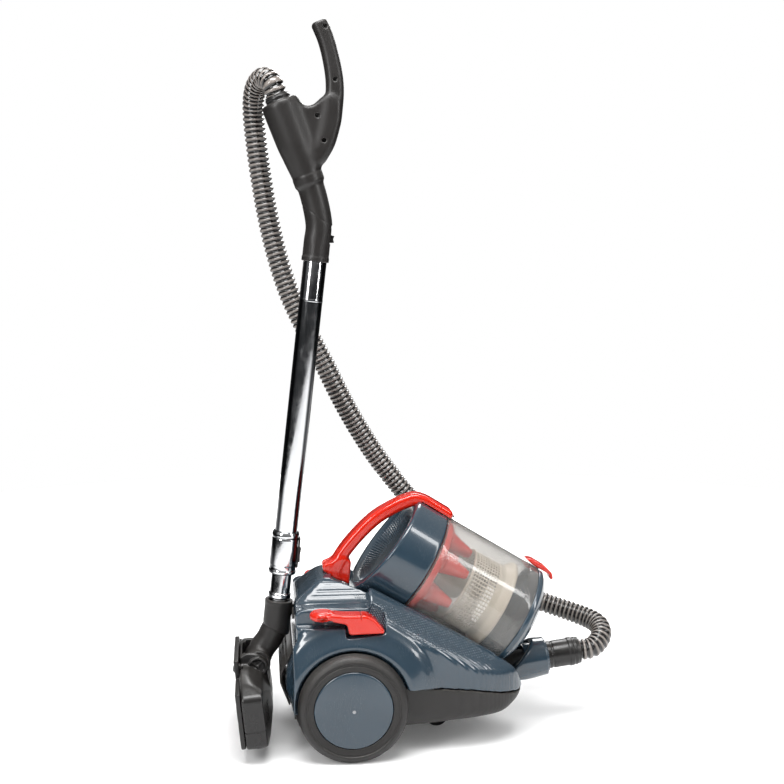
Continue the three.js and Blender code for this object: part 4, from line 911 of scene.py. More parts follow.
def handle_seat_field(x, y, z, extra=0.0):
    outline = [
        (-60, 259 - extra), (-37, 246.5 - extra), (6, 222.6 - extra), (40, 203 - extra), (60, 300), (-60, 300)
    ]
    return np.maximum(flat(x, z, outline), np.abs(y) - 18 - extra)


def nose_field(x, y, z):
    u, v, w = local(INLET, x, y, z)
    radius = away(u, v)
    return np.maximum(radius - 28.5 - (np.clip(-w, 0, 60) / 60) ** 1.5 * 9, span(w, -62, -2))


duct_line = [*on_axis(INLET, -22, -40), (240, 0, 85), (212, 0, 72), (182, 0, 71)]
duct_foot = placed([112 + 3, 0, -112], BIN)[0]
duct_line += [
    duct_foot + (10, 0, -18), duct_foot, placed([112, 0, -BIN_RADIUS - 1], BIN)[0],
    placed([112, 0, -40], BIN)[0]
]

# %% Fields on one grid
HOUSING_PITCH = 2.3
low, high = (-110, -132, 24), (314, 132, 262)
grid_axes = [np.arange(a, b + HOUSING_PITCH, HOUSING_PITCH) for a, b in zip(low, high)]
gx, gy, gz = np.meshgrid(*grid_axes, indexing="ij", sparse=True)
outer_skin = body_field(gx, gy, gz)
inlet_u, inlet_v, inlet_w = local(INLET, gx, gy, gz)
nose_hole = rod(inlet_u, inlet_v, inlet_w, 24.4, -47, 20)
wheel_room = rod(gx, gz - WHEEL_RADIUS, np.abs(gy), WHEEL_RADIUS + WELL_GAP, HALF + 0.8, 200)
hollow = cut_out(
    outer_skin + WALL, *[f(gx, gy, gz, WALL) for f in (trough_field, notch_field, handle_seat_field)], k=2
)
duct_room = hose_field(gx, gy, gz, duct_line, 17)
exhaust = brick(gx, gy, gz, (REAR - 8, REAR + 32), (-62, 62), (FLOOR + 44, FLOOR + 96))
bracket_room = brick(gx, gy, gz, (REAR + 10, REAR + 27.4), (-13.4, 13.4), (175.6, 192.4))
below = flat(gx, gz, [(-160, -50), (330, -50), *seam[::-1]])
trough = trough_field(gx, gy, gz)
flap_room_s, _, flap_room_n = local(BIN, gx, gy, gz)
flap_room = np.maximum(trough, flap_room_s - (199 + (flap_room_n + BIN_RADIUS) * 0.2))
body_only = soft_min(outer_skin, np.maximum(lip_field(gx, gy, gz), -outer_skin - 6), 12)
nose = np.maximum(soft_max(nose_field(gx, gy, gz), -flap_room, 3), -nose_hole)
shell = cut_out(soft_max(body_only, -hollow, 0.6), trough, wheel_room, k=2.5)
shell = soft_min(shell, nose, 5)

# %% Upper and lower housing
upper = cut_out(
    shell, notch_field(gx, gy, gz), handle_seat_field(gx, gy, gz), below - 0.3, nose_hole, exhaust,
    bracket_room, k=1.5
)
upper = np.maximum(upper, -duct_room)
field_to_piece(
    "housing_upper", upper.astype(np.float32), np.array(low, float), HOUSING_PITCH, slate_gloss, "canister",
    ["upper_housing"]
)
axle_room = away(gx, gz, 0, WHEEL_RADIUS) - 5.6
axle_boss = rod(gx, gz - WHEEL_RADIUS, np.abs(gy), 12, HALF - 22, HALF - 1)
caster_room = rod(gx - CASTER_X, gy, gz, 35, -20, 42.8)
caster_boss = rod(gx - CASTER_X, gy, gz, 12, 43.5, 59)
stem_room = rod(gx - CASTER_X, gy, gz, 6.2, 0, 70)
outlet_room = rod(gy - OUTLET_Y, gz - OUTLET_Z, gx, 7.6, REAR - 5, REAR + 40)
lower_shell = soft_max(soft_max(outer_skin, -(outer_skin + WALL), 0.6), below + 0.3, 1)
lower_shell = joined(lower_shell, axle_boss, caster_boss, k=3)
lower = cut_out(lower_shell, trough, axle_room, caster_room, stem_room, outlet_room, nose_hole, exhaust, k=1.2)
field_to_piece(
    "housing_lower", lower.astype(np.float32), np.array(low, float), HOUSING_PITCH, black_grained, "canister",
    ["lower_housing"]
)
del upper, lower, shell, lower_shell, body_only, hollow

# %% [markdown]
# ## Dotted grip band
# A band of tiny domes runs down the bevel on each side of the bin. Each dome is a real bump, set on the skin: for
# every place in the band the field is searched along Y until it crosses zero, and its slope gives the dome's tilt.

# %% Domes on the bevel
BAND = [(5, 224), (27, 226), (92, 199), (172, 159), (212, 125), (172, 136), (70, 168), (8, 209)]
DOT_STEP = 3.3
dot_x, dot_z = np.meshgrid(np.arange(0, 215, DOT_STEP), np.arange(120, 230, DOT_STEP * 0.866), indexing="ij")
dot_x = (dot_x + DOT_STEP / 2 * (np.arange(dot_x.shape[1]) % 2)).ravel()
dot_z = dot_z.ravel()
inside_band = flat(dot_x, dot_z, BAND) < -1
dot_x, dot_z = dot_x[inside_band], dot_z[inside_band]


def on_skin(x, z):
    """The Y of the body's right side at each place, by halving."""
    outside, inside = np.full(len(x), -128.0), np.full(len(x), -60.0)
    reached = body_field(x, inside, z) < 0
    for _ in range(18):
        half = (outside + inside) / 2
        deep = body_field(x, half, z) < 0
        inside, outside = np.where(deep, half, inside), np.where(deep, outside, half)
    return inside, reached


dot_y, reached = on_skin(dot_x, dot_z)
dots = np.stack([dot_x, dot_y, dot_z], 1)[reached]
way = np.stack([body_field(*(dots + step).T) - body_field(*(dots - step).T) for step in np.eye(3) * 0.5], 1)
way /= np.linalg.norm(way, axis=1)[:, None]
free = trough_field(*dots.T) > 2.5
dots, way = dots[free], way[free]
side_way = np.cross(way, (0, 0, 1.0))
side_way /= np.linalg.norm(side_way, axis=1)[:, None]
other_way = np.cross(way, side_way)
dot_parts = []
DOT_RINGS = [(1.15, -0.5), (1.15, 0.0), (0.8, 0.38)]
for radius, height in DOT_RINGS:
    for angle in np.arange(8) * math.pi / 4:
        dot_parts.append(
            dots + way * height + radius * (math.cos(angle) * side_way + math.sin(angle) * other_way)
        )
dot_parts.append(dots + way * 0.55)
dot_points = np.stack(dot_parts, 1).reshape(-1, 3)
one = [
    *rings_to_faces(3, 8).tolist(), *[[16 + i, 16 + (i + 1) % 8, 24] for i in range(8)], list(range(8))[::-1]
]
for sign, name in ((1, "right"), (-1, "left")):
    faces = [[v + 25 * i for v in face] for i in range(len(dots)) for face in one]
    facing_out(
        piece_from(
            f"grip_dots_{name}", dot_points * (1, sign, 1), faces, slate_gloss, "canister"
        )
    )

# %% [markdown]
# ## Rear wheels
# The tyres are soft black plastic with a stepped side wall and a shallow groove in the tread. The hub is a glossy
# slate disc, a little domed. Its axle lies behind it, so the disc is turned in one piece without a bore.


# %% Tyres and hubs
def wheel(name, side):
    inner, outer = HALF + SIDE_GAP, HALF + SIDE_GAP + TYRE_WIDTH
    r, seat = WHEEL_RADIUS, HUB_RADIUS + 0.4

    def laid(profile):
        return [(q[0], q[1] * side, *q[2:]) for q in profile]

    tread = [
        (r - 0.6, inner + 9), (r, inner + 10.5), (r, inner + 13), (r - 1.2, inner + 13.6),
        (r - 1.2, inner + 14.4), (r, inner + 15), (r, outer - 9.5), (r - 0.8, outer - 8)
    ]
    tyre = [
        (seat, inner + 2), (r - 12, inner + 0.5), (r - 9, inner), (r - 2, inner + 5, 3), *tread,
        (r - 3.5, outer - 3.4, 3), (r - 9, outer, 3),
        (r - 11, outer), (r - 11.8, outer - 1.2), (r - 14, outer - 1.2), (r - 14.6, outer - 0.4),
        (seat, outer - 1.6),
    ]
    place = across(0, WHEEL_RADIUS)
    turned(
        f"wheel_tyre_{name}", laid(tyre), place, tyre_rubber, f"wheel_{name}", [f"tyre_{name}"], 144,
        0.7, True
    )
    hub = [
        (0, outer + 2.4), (5, outer + 2.4, 0), (14, outer + 2.3, 4), (34, outer + 1.4, 9), (50, outer - 0.6, 5),
        (54.4, outer - 1.2, 1), (HUB_RADIUS, outer - 2.8, 1.2), (HUB_RADIUS, inner + 2),
        (51, inner + 2), (51, outer - 8), (14, outer - 6), (14, inner + 1), (7, inner + 1), (7, outer - 8),
        (0, outer - 8),
    ]
    turned(
        f"wheel_hub_{name}", laid(hub), place, slate_gloss, f"wheel_{name}", [f"hub_{name}"],
        144, 0.5, False, 4
    )


wheel("right", -1)
wheel("left", 1)

# %% [markdown]
# ## Dust bin
# Through the clear wall one sees the dirt space and, above it, a crown of red cyclone cones on a grey core, with a
# perforated shroud below. All of them are turned parts, so the lathe makes them too.

# %% Clear cylinder
BIN_WALL = 2.4
bin_profile = [
    (BIN_RADIUS, 1), (BIN_RADIUS, 12), (BIN_RADIUS - 0.5, 13), (BIN_RADIUS - 0.5, BIN_LENGTH - 14),
    (BIN_RADIUS, BIN_LENGTH - 13), (BIN_RADIUS, BIN_LENGTH),
    (BIN_RADIUS - BIN_WALL, BIN_LENGTH), (BIN_RADIUS - BIN_WALL, 1),
]
turned(
    "clear_bin", bin_profile, BIN_AXIS, clear_plastic, "dust_bin", ["bin_cylinder"], 160, 0.5, True
)
red_clear = moulded("red_ring", srgb(204, 34, 4), 0.18, 700.0, 0.00001, dust=0.0, coat_weight=0.4)
ring_edge = BIN_RADIUS - BIN_WALL - 0.4
turned(
    "red_bin_ring",
    [
        (ring_edge - 5, 4), (ring_edge, 4), (ring_edge, 9.5), (ring_edge - 1.6, 10), (ring_edge - 1.6, 12),
        (ring_edge - 2.4, 13.4), (ring_edge - 5, 13.4)
    ],
    BIN_AXIS, red_clear, "dust_bin", ["bin_ring"], 144, 0.5, True,
)


# %% Cyclone cones
def merged(parts):
    """Several point and face sets as one."""
    points, faces, start = [], [], 0
    for part_points, part_faces in parts:
        points.append(part_points)
        faces += [
            [v + start for v in f]
            for f in (part_faces.tolist() if isinstance(part_faces, np.ndarray) else part_faces)
        ]
        start += len(part_points)
    return np.vstack(points), faces


def moved(part, x=0.0, y=0.0, z=0.0):
    return part[0] + (x, y, z), part[1]


cone_profile = [
    (0, 5), (10, 5), (16, 7, 3), (17.4, 10, 2), (17.4, 19), (16.4, 20), (16.4, 22), (17, 23), (16.6, 26),
    (14.2, 34), (14.2, 35), (13.4, 36), (9, 54), (8.6, 57),
    (7.4, 58), (7, 62), (4.5, 62), (4.5, 56), (0, 50),
]
CONES, CONE_CIRCLE = 6, 49
crown = [
    moved(turned_mesh(cone_profile, 40, 0.6), CONE_CIRCLE * math.cos(a), CONE_CIRCLE * math.sin(a))
    for a in np.arange(CONES) * 2 * math.pi / CONES
]
crown_plate = [
    (28.4, 6), (31, 5.2), (ring_edge - 6, 5.2), (ring_edge - 5.4, 6.4), (ring_edge - 5.4, 11),
    (ring_edge - 7, 12), (28.4, 12)
]
crown.append(turned_mesh(crown_plate, 120, 0.5, closed=True))
points, faces = merged(crown)
facing_out(
    piece_from(
        "cyclone_crown", points, faces, red_gloss, "dust_bin", ["cyclone_cones"], BIN_AXIS
    )
)

# %% Core and shroud
turned(
    "cyclone_core",
    [
        (0, 5), (20, 5), (27, 6.5, 2), (28, 9), (28, 24), (26.8, 25), (26.8, 28), (28, 29), (28, 58, 3),
        (25, 64, 3), (20, 76, 4), (12, 79, 3), (0, 80)
    ],
    BIN_AXIS, grey_cyclone, "dust_bin", ["bin_core"], 96, 0.6,
)
SHROUD_RADIUS = 58


def perforated(radius, low_end, high_end, columns, rows, thick):
    """A tube wall with a grid of round-cornered holes: each cell is a frame of quads round an opening."""
    cells_points, cells_faces, count = [], [], 0
    hole = np.array(
        [
            (-0.28, -0.34), (0.0, -0.4), (0.28, -0.34), (0.33, 0), (0.28, 0.34), (0, 0.4), (-0.28, 0.34),
            (-0.33, 0)
        ]
    )
    edge = np.array(
        [(-0.5, -0.5), (0, -0.5), (0.5, -0.5), (0.5, 0), (0.5, 0.5), (0, 0.5), (-0.5, 0.5), (-0.5, 0)]
    )
    for row in range(rows):
        for column in range(columns):
            for shape, r in ((edge, radius), (hole, radius), (hole, radius - thick), (edge, radius - thick)):
                angle = (column + 0.5 + shape[:, 0]) * 2 * math.pi / columns
                height = low_end + (row + 0.5 + shape[:, 1]) * (high_end - low_end) / rows
                cells_points.append(np.stack([r * np.cos(angle), r * np.sin(angle), height], 1))
            cells_faces.append(rings_to_faces(4, 8) + count)
            count += 32
    return np.vstack(cells_points), np.vstack(cells_faces).tolist()


shroud_solid = [
    (SHROUD_RADIUS - 3, 65), (SHROUD_RADIUS + 0.6, 65), (SHROUD_RADIUS + 0.6, 68), (SHROUD_RADIUS, 68.6),
    (SHROUD_RADIUS - 3, 68.6),
]
skirt = [
    (SHROUD_RADIUS - 3, 108), (SHROUD_RADIUS, 108), (SHROUD_RADIUS + 0.6, 109), (SHROUD_RADIUS + 0.6, 118, 3),
    (SHROUD_RADIUS + 12, 128), (SHROUD_RADIUS + 12, 131),
    (SHROUD_RADIUS - 1, 121, 3), (SHROUD_RADIUS - 3, 119),
]
points, faces = merged([
    turned_mesh(shroud_solid, 120, 0.4, closed=True), turned_mesh(skirt, 120, 0.5, closed=True),
    perforated(SHROUD_RADIUS - 0.4, 68.4, 108.2, 60, 9, 1.6)
])
piece_from(
    "perforated_shroud", points, faces, grey_cyclone, "dust_bin", ["cyclone_shroud"], BIN_AXIS
)

# %% [markdown]
# ## Lid
# The lid is a glossy slate drum. Its rear is cut off at a slant and dished like a bowl, and the lower slope of the
# bowl carries a band of fine ribs for the thumb. The ribs are a ripple in the field, four millimetres apart.

# %% The slanted bowl
slant = math.atan2(LID_BOTTOM - LID_TOP, 2 * LID_RADIUS)
bowl_middle = placed([-(LID_TOP + LID_BOTTOM) / 2, 0, 0], BIN)[0]
bowl_way = BIN[:3, :3] @ np.array([-math.cos(slant), 0, math.sin(slant)])
BOWL = np.array(
    Matrix.Translation(bowl_middle) @ Vector((0, 0, 1)).rotation_difference(
        Vector(bowl_way)
    ).to_matrix().to_4x4()
)
bowl_profile = eased(
    [
        (0, -26), (30, -25), (52, -17), (66, -4), (72, 2), (72, 60), (-72, 60), (-72, 2), (-66, -4), (-52, -17),
        (-30, -25)
    ],
    7
)
handle_line = smooth_line(
    [
        (-20, 0, 233), (-17, 0, 252), (-3, 0, 276), (20, 0, 303), (45, 0, 325.5), (72, 0, 341), (90, 0, 348.5),
        (102, 0, 351.5), (117, 0, 347), (132, 0, 338), (149, 0, 327.5)
    ]
)


def handle_field(x, y, z, extra=0.0):
    middle = hose_field(x, 0, z, handle_line, 0)
    width = 17 - 2.0 * np.clip((x - 20) / 60, 0, 1) * np.clip((140 - x) / 40, 0, 1)
    bar = bar_field(middle, y, width + extra, 9.5 + extra, 6.5)
    foot = flat(x, z, eased([(-36.5, 247.6), (2.5, 226.2), (6, 262), (-8, 268), (-37, 257)], 4))
    return soft_min(bar, soft_max(foot - extra, np.abs(y) - 17 - extra, 4), 5)


def lid_field(u, v, w):
    """In the bin's own frame, w down the bin."""
    x, y, z = (sum(BIN_AXIS[i, j] * c for j, c in enumerate((u, v, w))) + BIN_AXIS[i, 3] for i in range(3))
    bu, bv, bw = local(BOWL, x, y, z)
    reach = away(bu, bv)
    drum = soft_max(away(u, v) - LID_RADIUS, np.maximum(bw, w), 5)
    bowl = flat(reach, bw, bowl_profile)
    turn = np.arctan2(bv, bu)
    band = np.clip(1 - np.abs((reach - 57) / 9) ** 6, 0, 1)
    bowl = bowl + 0.9 * band * np.cos(turn * 92)
    hollow = rod(u, v, w, LID_RADIUS - 4, -24, 20)
    body = soft_max(drum, -bowl, 3)
    chamfer = soft_max(body, bw - 1.5, 2)
    button = brick(w, v, -u, (-32, 12), (-8.5, 8.5), (LID_RADIUS - 14, LID_RADIUS + 20))
    return cut_out(chamfer, hollow, button, handle_field(x, y, z, 0.4), k=0.8)


skinned(
    "slate_lid", lid_field, (-92, -88, -90), (92, 88, 4), 1.35, slate_gloss, "lid", ["bin_lid"],
    BIN_AXIS
)

# %% [markdown]
# ## Carrying handle
# One thick red arch springs from the hump, passes over the bin and ends in a blunt tip. A flat strap with rounded
# corners follows the middle line, and its foot spreads into a block with a shallow oval on its rear face.


# %% Red handle
def carry_handle_field(x, y, z):
    field = handle_field(x, y, z)
    u, v, w = local(BIN_AXIS, x, y, z)
    tube = rod(u, v, w, LID_RADIUS + 0.4, -46, 90)
    button = brick(w, v, -u, (-40, 20), (-8, 8), (LID_RADIUS - 10, LID_RADIUS + 4.2))
    seat = flat(x, z, [(-60, 259.6), (-37, 247.1), (6, 223.2), (6, 200), (-60, 200)])
    crease = np.abs(np.abs(y) - 12.6) - 0.45
    middle = hose_field(x, 0, z, handle_line, 0)
    groove = np.maximum(crease, 8.6 - middle)
    oval = np.sqrt((y / 6.5) ** 2 + (((z - 262) * 0.8 + (x + 14) * 0.4) / 15) ** 2) - 1
    emboss = np.maximum(np.abs(oval) * 6 - 0.5, x - 2)
    emboss = np.maximum(emboss, 8.6 - middle)
    return cut_out(field, groove, emboss, tube, button, seat, k=0.6)


skinned(
    "red_carry_handle", carry_handle_field, (-44, -20, 216), (164, 20, 366), 1.05, red_gloss, "lid",
    ["carry_handle"]
)


# %% Grey button under the tip
def button_field(s, v, n):
    tab = flat(
        s, n,
        eased(
            [
                (-30, LID_RADIUS - 2.8), (-1, LID_RADIUS - 2.8), (10, LID_RADIUS + 1.5), (10, LID_RADIUS + 3.5),
                (-30, LID_RADIUS + 3.5)
            ],
            0.8
        )
    )
    tube = np.maximum(away(v, n) - BIN_RADIUS - 4, -0.5 - s)
    return cut_out(soft_max(tab, np.abs(v) - 7.5, 1.2), tube, k=0.4)


skinned(
    "release_tab", button_field, (-33, -10, 78), (13, 10, 90), 0.6, dark_satin, "release_button",
    ["handle_button"], BIN
)

# %% [markdown]
# ## Bin flap and latch
# A slate flap, hinged at its lower edge, closes the bin. A red latch with finger ridges holds it shut on top.


# %% Flap
def flap_field(u, v, w):
    start, inner = BIN_LENGTH + 1, BIN_RADIUS - 4
    profile = eased(
        [
            (inner, start), (BIN_RADIUS + 1.5, start), (BIN_RADIUS + 1.5, start + 7),
            (BIN_RADIUS - 6, start + 14), (62, start + 22), (34, start + 26), (-5, start + 27),
            (-5, start + 24), (33, start + 23), (60, start + 19), (inner - 3, start + 11), (inner, start + 6),
        ],
        1.6,
    )
    radius = away(u, v)
    ridge = np.maximum(np.abs(radius - 44) - 0.5, start + 15 - w)
    cap = flat(radius, w, profile)
    latch_room = brick(-u, v, w, (BIN_RADIUS - 7, BIN_RADIUS + 12), (-13, 13), (start - 10, start + 40))
    hinge_room = brick(-u, v, w, (-BIN_RADIUS - 8, -BIN_RADIUS + 4), (-15, 15), (start - 3, start + 6))
    knuckle_outline = eased(
        [
            (start, -BIN_RADIUS - 2.6), (start + 6, -BIN_RADIUS - 2.6), (start + 9, -BIN_RADIUS + 12),
            (start, -BIN_RADIUS + 12)
        ],
        1.5
    )
    knuckle = soft_max(flat(w, -u, knuckle_outline), np.abs(v) - 11, 1)
    return cut_out(joined(cut_out(cap, hinge_room, ridge, k=0.8), knuckle, k=1.5), latch_room, k=1)


skinned(
    "slate_flap", flap_field, (-88, -88, 156), (88, 88, 192), 1.35, slate_gloss, "flap",
    ["bin_flap"], BIN_AXIS
)


# %% Latch
def latch_field(s, v, n):
    start = BIN_LENGTH
    outline = eased(
        [
            (start - 22, BIN_RADIUS + 4), (start - 9, BIN_RADIUS + 1.2), (start + 20, BIN_RADIUS + 1.2),
            (start + 26, BIN_RADIUS - 5), (start + 30, BIN_RADIUS - 2),
            (start + 24, BIN_RADIUS + 5), (start + 8, BIN_RADIUS + 9), (start - 14, BIN_RADIUS + 9),
            (start - 23, BIN_RADIUS + 5),
        ],
        3,
    )
    ridges = np.maximum(np.abs((s - start + 15) % 4.4 - 2.2) - 0.5, BIN_RADIUS + 7.8 - n)
    ridges = np.maximum(ridges, span(s, start - 16, start + 6))
    return cut_out(soft_max(flat(s, n, outline), np.abs(v) - 11.5, 3), ridges, k=0.5)


skinned(
    "red_latch", latch_field, (134, -14, 72), (194, 14, 94), 0.7, red_gloss, "latch",
    ["bin_latch"], BIN
)

# %% [markdown]
# ## Wand
# The wand is two drawn steel tubes, chromed, that slide in each other. Each ends in a rolled bead. The wider sleeve
# between them holds the catch, and a dark slider on its front frees it. Below, the inner tube drops into a black neck.

# %% Chrome tubes
OUTER_TUBE, INNER_TUBE, TUBE_WALL = 17, 15, 1.2
COLLAR_START, COLLAR_END, TUBE_END = 41, 105, 506
inner_tube = [
    (INNER_TUBE - TUBE_WALL, -30), (INNER_TUBE, -30), (INNER_TUBE, 3, 0.4), (INNER_TUBE + 1.7, 4.6, 1.4),
    (INNER_TUBE + 1.7, 10.4, 1.4), (INNER_TUBE, 12, 0.6),
    (INNER_TUBE, 425), (INNER_TUBE - TUBE_WALL, 425),
]
turned("inner_chrome_tube", inner_tube, WAND, chrome, "canister", ["inner_tube"], 96, 0.4, True)
outer_tube = [
    (OUTER_TUBE - 0.9, COLLAR_START + 10), (OUTER_TUBE, COLLAR_START + 10), (OUTER_TUBE, TUBE_END - 60),
    (OUTER_TUBE + 0.25, TUBE_END - 59), (OUTER_TUBE + 0.25, TUBE_END - 57),
    (OUTER_TUBE, TUBE_END - 56), (OUTER_TUBE, TUBE_END + 20), (OUTER_TUBE - 0.9, TUBE_END + 20),
]
turned(
    "outer_chrome_tube", outer_tube, WAND, chrome, "wand_upper", ["outer_tube"], 96, 0.3, True
)

# %% Sleeve with its catch
collar = [
    (15.7, COLLAR_START), (OUTER_TUBE + 2.4, COLLAR_START), (OUTER_TUBE + 3.4, COLLAR_START + 1.6, 1.2),
    (OUTER_TUBE + 3.4, COLLAR_START + 5), (OUTER_TUBE + 2.6, COLLAR_START + 6.2),
    (OUTER_TUBE + 2.6, COLLAR_START + 12), (OUTER_TUBE + 3.1, COLLAR_START + 14),
    (OUTER_TUBE + 3.1, COLLAR_END - 12), (OUTER_TUBE + 2.4, COLLAR_END - 9.6),
    (OUTER_TUBE + 3.4, COLLAR_END - 8, 1.4),
    (OUTER_TUBE + 3.4, COLLAR_END - 4, 1.4), (OUTER_TUBE + 1.6, COLLAR_END), (OUTER_TUBE + 0.4, COLLAR_END),
    (OUTER_TUBE + 0.4, COLLAR_START + 9), (15.7, COLLAR_START + 9),
]
turned("chrome_sleeve", collar, WAND, chrome, "wand_upper", ["tube_collar"], 120, 0.5, True)


def guide_field(x, y, z):
    """The raised frame that the slider runs in."""
    frame_block = soft_max(
        span(x, OUTER_TUBE + 2.2, OUTER_TUBE + 5.2),
        soft_max(np.abs(y) - 9, span(z, COLLAR_START + 10, COLLAR_END - 8), 4), 1.5
    )
    pocket = soft_max(np.abs(y) - 6.4, span(z, COLLAR_START + 15, COLLAR_END - 12), 2)
    return cut_out(frame_block, pocket, k=0.6)


skinned(
    "slider_frame", guide_field, (17, -11, 48), (24, 11, 100), 0.5, dark_satin, "wand_upper",
    [], WAND
)


def slider_field(x, y, z):
    low_end = COLLAR_START + 17
    outline = eased(
        [(18.6, low_end), (25, low_end + 2), (24, low_end + 12), (25, low_end + 23), (18.6, low_end + 25)], 1.8
    )
    ridges = np.maximum(np.abs((z - low_end - 2) % 3.2 - 1.6) - 0.45, 23.6 - x)
    return cut_out(soft_max(flat(x, z, outline), np.abs(y) - 5.8, 1.6), ridges, k=0.4)


skinned(
    "tube_lock_slider", slider_field, (17, -8, 56), (27, 8, 86), 0.45, dark_satin, "tube_lock",
    ["tube_slider"], WAND
)


# %% [markdown]
# ## Neck of the floor head
# A bent black tube leads the air from the head's knuckle up to the wand. A flared rim takes the chrome tube, a mould
# seam runs round the bend, and a short hook behind the tube hangs the whole wand in the canister's bracket.


# %% Black neck
HEAD_X, HEAD_Z = -134, 113  # the knuckle's axis
NECK_RADIUS = 19.4


def wand_at(height):
    return placed([0, 0, height], WAND)[0]


neck_line = smooth_line(
    [wand_at(0), wand_at(-36), (-112.5, 0, 152), (HEAD_X + 17, 0, HEAD_Z + 30), (HEAD_X + 7, 0, HEAD_Z + 17)], 5
)


def neck_field(x, y, z):
    u, v, w = local(WAND, x, y, z)
    tube = np.maximum(hose_field(x, y, z, neck_line, NECK_RADIUS), w)
    sleeve = np.maximum(
        hose_field(x, y, z, [wand_at(0), wand_at(-44)], 20.4), -((x + 106) * 0.5 + (z - 160) * 0.86)
    )
    rim = soft_max(away(u, v) - 20.6, span(w, -5, 0), 1.5)
    pivot = away(x, z, HEAD_X, HEAD_Z)
    knuckle = soft_max(pivot - 19, np.abs(y) - 26, 3)
    caps = soft_max(pivot - 14, np.abs(y) - 31, 1.5)
    hook = brick(x, y, z, (-89.4, -76.2), (-4, 4), (180, 190))
    bore = rod(u, v, w, 15.4, -34, 5)
    air = hose_field(x, y, z, neck_line[3:], 13)
    pin = np.maximum(pivot - 6.5, np.abs(y) - 60)
    spokes = np.minimum(np.abs(x - HEAD_X), np.abs(z - HEAD_Z)) - 0.8
    cross = np.maximum(np.maximum(spokes, span(pivot, 7.5, 12)), 29.8 - np.abs(y))
    seam_groove = np.maximum(np.abs(y) - 0.35, 0) + np.maximum(
        NECK_RADIUS - 0.5 - hose_field(x, y, z, neck_line, 0), 0
    ) - 0.3
    whole = joined(soft_min(tube, knuckle, 8), caps, rim, np.maximum(sleeve, w), hook, k=1.2)
    return cut_out(whole, bore, air, pin, cross, seam_groove, k=0.8)


skinned(
    "black_neck", neck_field, (-156, -33, 90), (-74, 33, 208), 1.1, black_grained, "canister",
    ["wand_neck"]
)

# %% [markdown]
# ## Hose handle
# The handle is one black moulding in two halves. A bent tube takes the wand, a wide socket takes the hose, and an
# open curved grip rises between them. Four sunk screws hold the halves together.

# %% Bent tube and socket
bend_line = smooth_line(
    [
        wand_at(TUBE_END - 2), wand_at(TUBE_END + 26), wand_at(TUBE_END + 52), (-45, 0, 795), (-55.8, 0, 829.8),
        (-63, 0, 849)
    ],
    5
)
grip_line = smooth_line(
    [
        (-38, 0, 856), (-27, 0, 876), (-20, 0, 903), (-15.5, 0, 930), (-14.5, 0, 957), (-18, 0, 984),
        (-26.5, 0, 1018), (-37, 0, 1043)
    ],
    6
)
flare = eased(
    [
        (-5, -122), (21, -122, 1), (21.4, -112, 1), (20, -110, 1), (22, -98, 6), (26.2, -66, 12), (27.2, -6),
        (26, 0), (-5, 0)
    ],
    2.5
)


def handle_tube_body(x, y, z):
    u, v, w = local(SOCKET, x, y, z)
    bend = hose_field(x, y, z, bend_line, NECK_RADIUS)
    a, b, c = local(WAND, x, y, z)
    bend = np.maximum(bend, TUBE_END - 2 - c)
    ring = soft_max(away(a, b) - 20.0, span(c, TUBE_END - 2, TUBE_END + 5), 1)
    return joined(soft_min(bend, flat(away(u, v), w, flare), 8), ring, k=1)


def grip_body(x, y, z):
    middle = hose_field(x, 0, z, grip_line, 0)
    thick = 13 - 1.4 * np.clip((z - 940) / 60, 0, 1)
    grip = bar_field(middle, y, 14.6, thick, 9)
    grip = soft_max(grip, (x + 37) * -0.36 + (z - 1043) * 0.93, 4)
    web = eased(
        [
            (-56, 842), (-44, 838), (-24, 868), (-10, 905), (-14, 935), (-33, 938), (-47, 925), (-62, 926),
            (-72, 938), (-78, 930), (-64, 880)
        ],
        8,
    )
    return soft_min(grip, soft_max(flat(x, z, web), np.abs(y) - 14.5, 7), 12)


SCREWS = ((-28.4, 1035), (-14.6, 962), (-40, 911), (-31, 876))


def hose_handle_field(x, y, z):
    u, v, w = local(SOCKET, x, y, z)
    a, b, c = local(WAND, x, y, z)
    bore = rod(a, b, c, 17.4, TUBE_END - 8, TUBE_END + 22)
    air = hose_field(x, y, z, bend_line[6:], 14)
    cuff_room = rod(u, v, w, 19.4, -60, 10)
    mouth = rod(u, v, w, 14, -100, 4)
    slot = brick(a, b, c, (16.5, 30), (-5.5, 5.5), (TUBE_END + 26, TUBE_END + 52))
    body = soft_min(handle_tube_body(x, y, z), grip_body(x, y, z), 9)
    seam = np.maximum(np.abs(c - TUBE_END - 60 + 0.6 * a) - 0.4, -body - 0.6)
    screws = [away(x, z, sx, sz) for sx, sz in SCREWS]
    recess = np.minimum.reduce([np.maximum(reach - 3.2, 9.5 - np.abs(y)) for reach in screws])
    halves = np.maximum(np.maximum(np.abs(y) - 0.3, -body - 0.5), -38 - x)
    return cut_out(body, bore, air, cuff_room, mouth, slot, seam, recess, halves, k=0.8)


skinned(
    "hose_handle", hose_handle_field, (-134, -30, 698), (2, 30, 1062), 1.45, black_grained, "wand_upper",
    ["handle_tube", "handgrip"]
)
screw_profile = [(0, 8.6), (2.2, 8.6), (2.6, 8.0), (2.6, 5), (0, 5)]
screw_points, screw_faces = merged([
    (
        (turned_mesh([(r, h * side) for r, h in screw_profile], 24, 0.3)[0] @ ACROSS[:3, :3].T + (sx, 0, sz)),
        turned_mesh(screw_profile, 24, 0.3)[1]
    )
    for sx, sz in SCREWS for side in (-1, 1)
])
piece_from("grip_screws", screw_points, screw_faces, turned_steel, "wand_upper")


# %% Suction slider and hose cuffs
def suction_field(x, y, z):
    low_end = TUBE_END + 27
    outline = eased(
        [(17.4, low_end), (24.5, low_end + 1), (22.5, low_end + 6), (24, low_end + 11), (17.4, low_end + 12)],
        1.2
    )
    return soft_max(flat(x, z, outline), np.abs(y) - 4.8, 1.2)


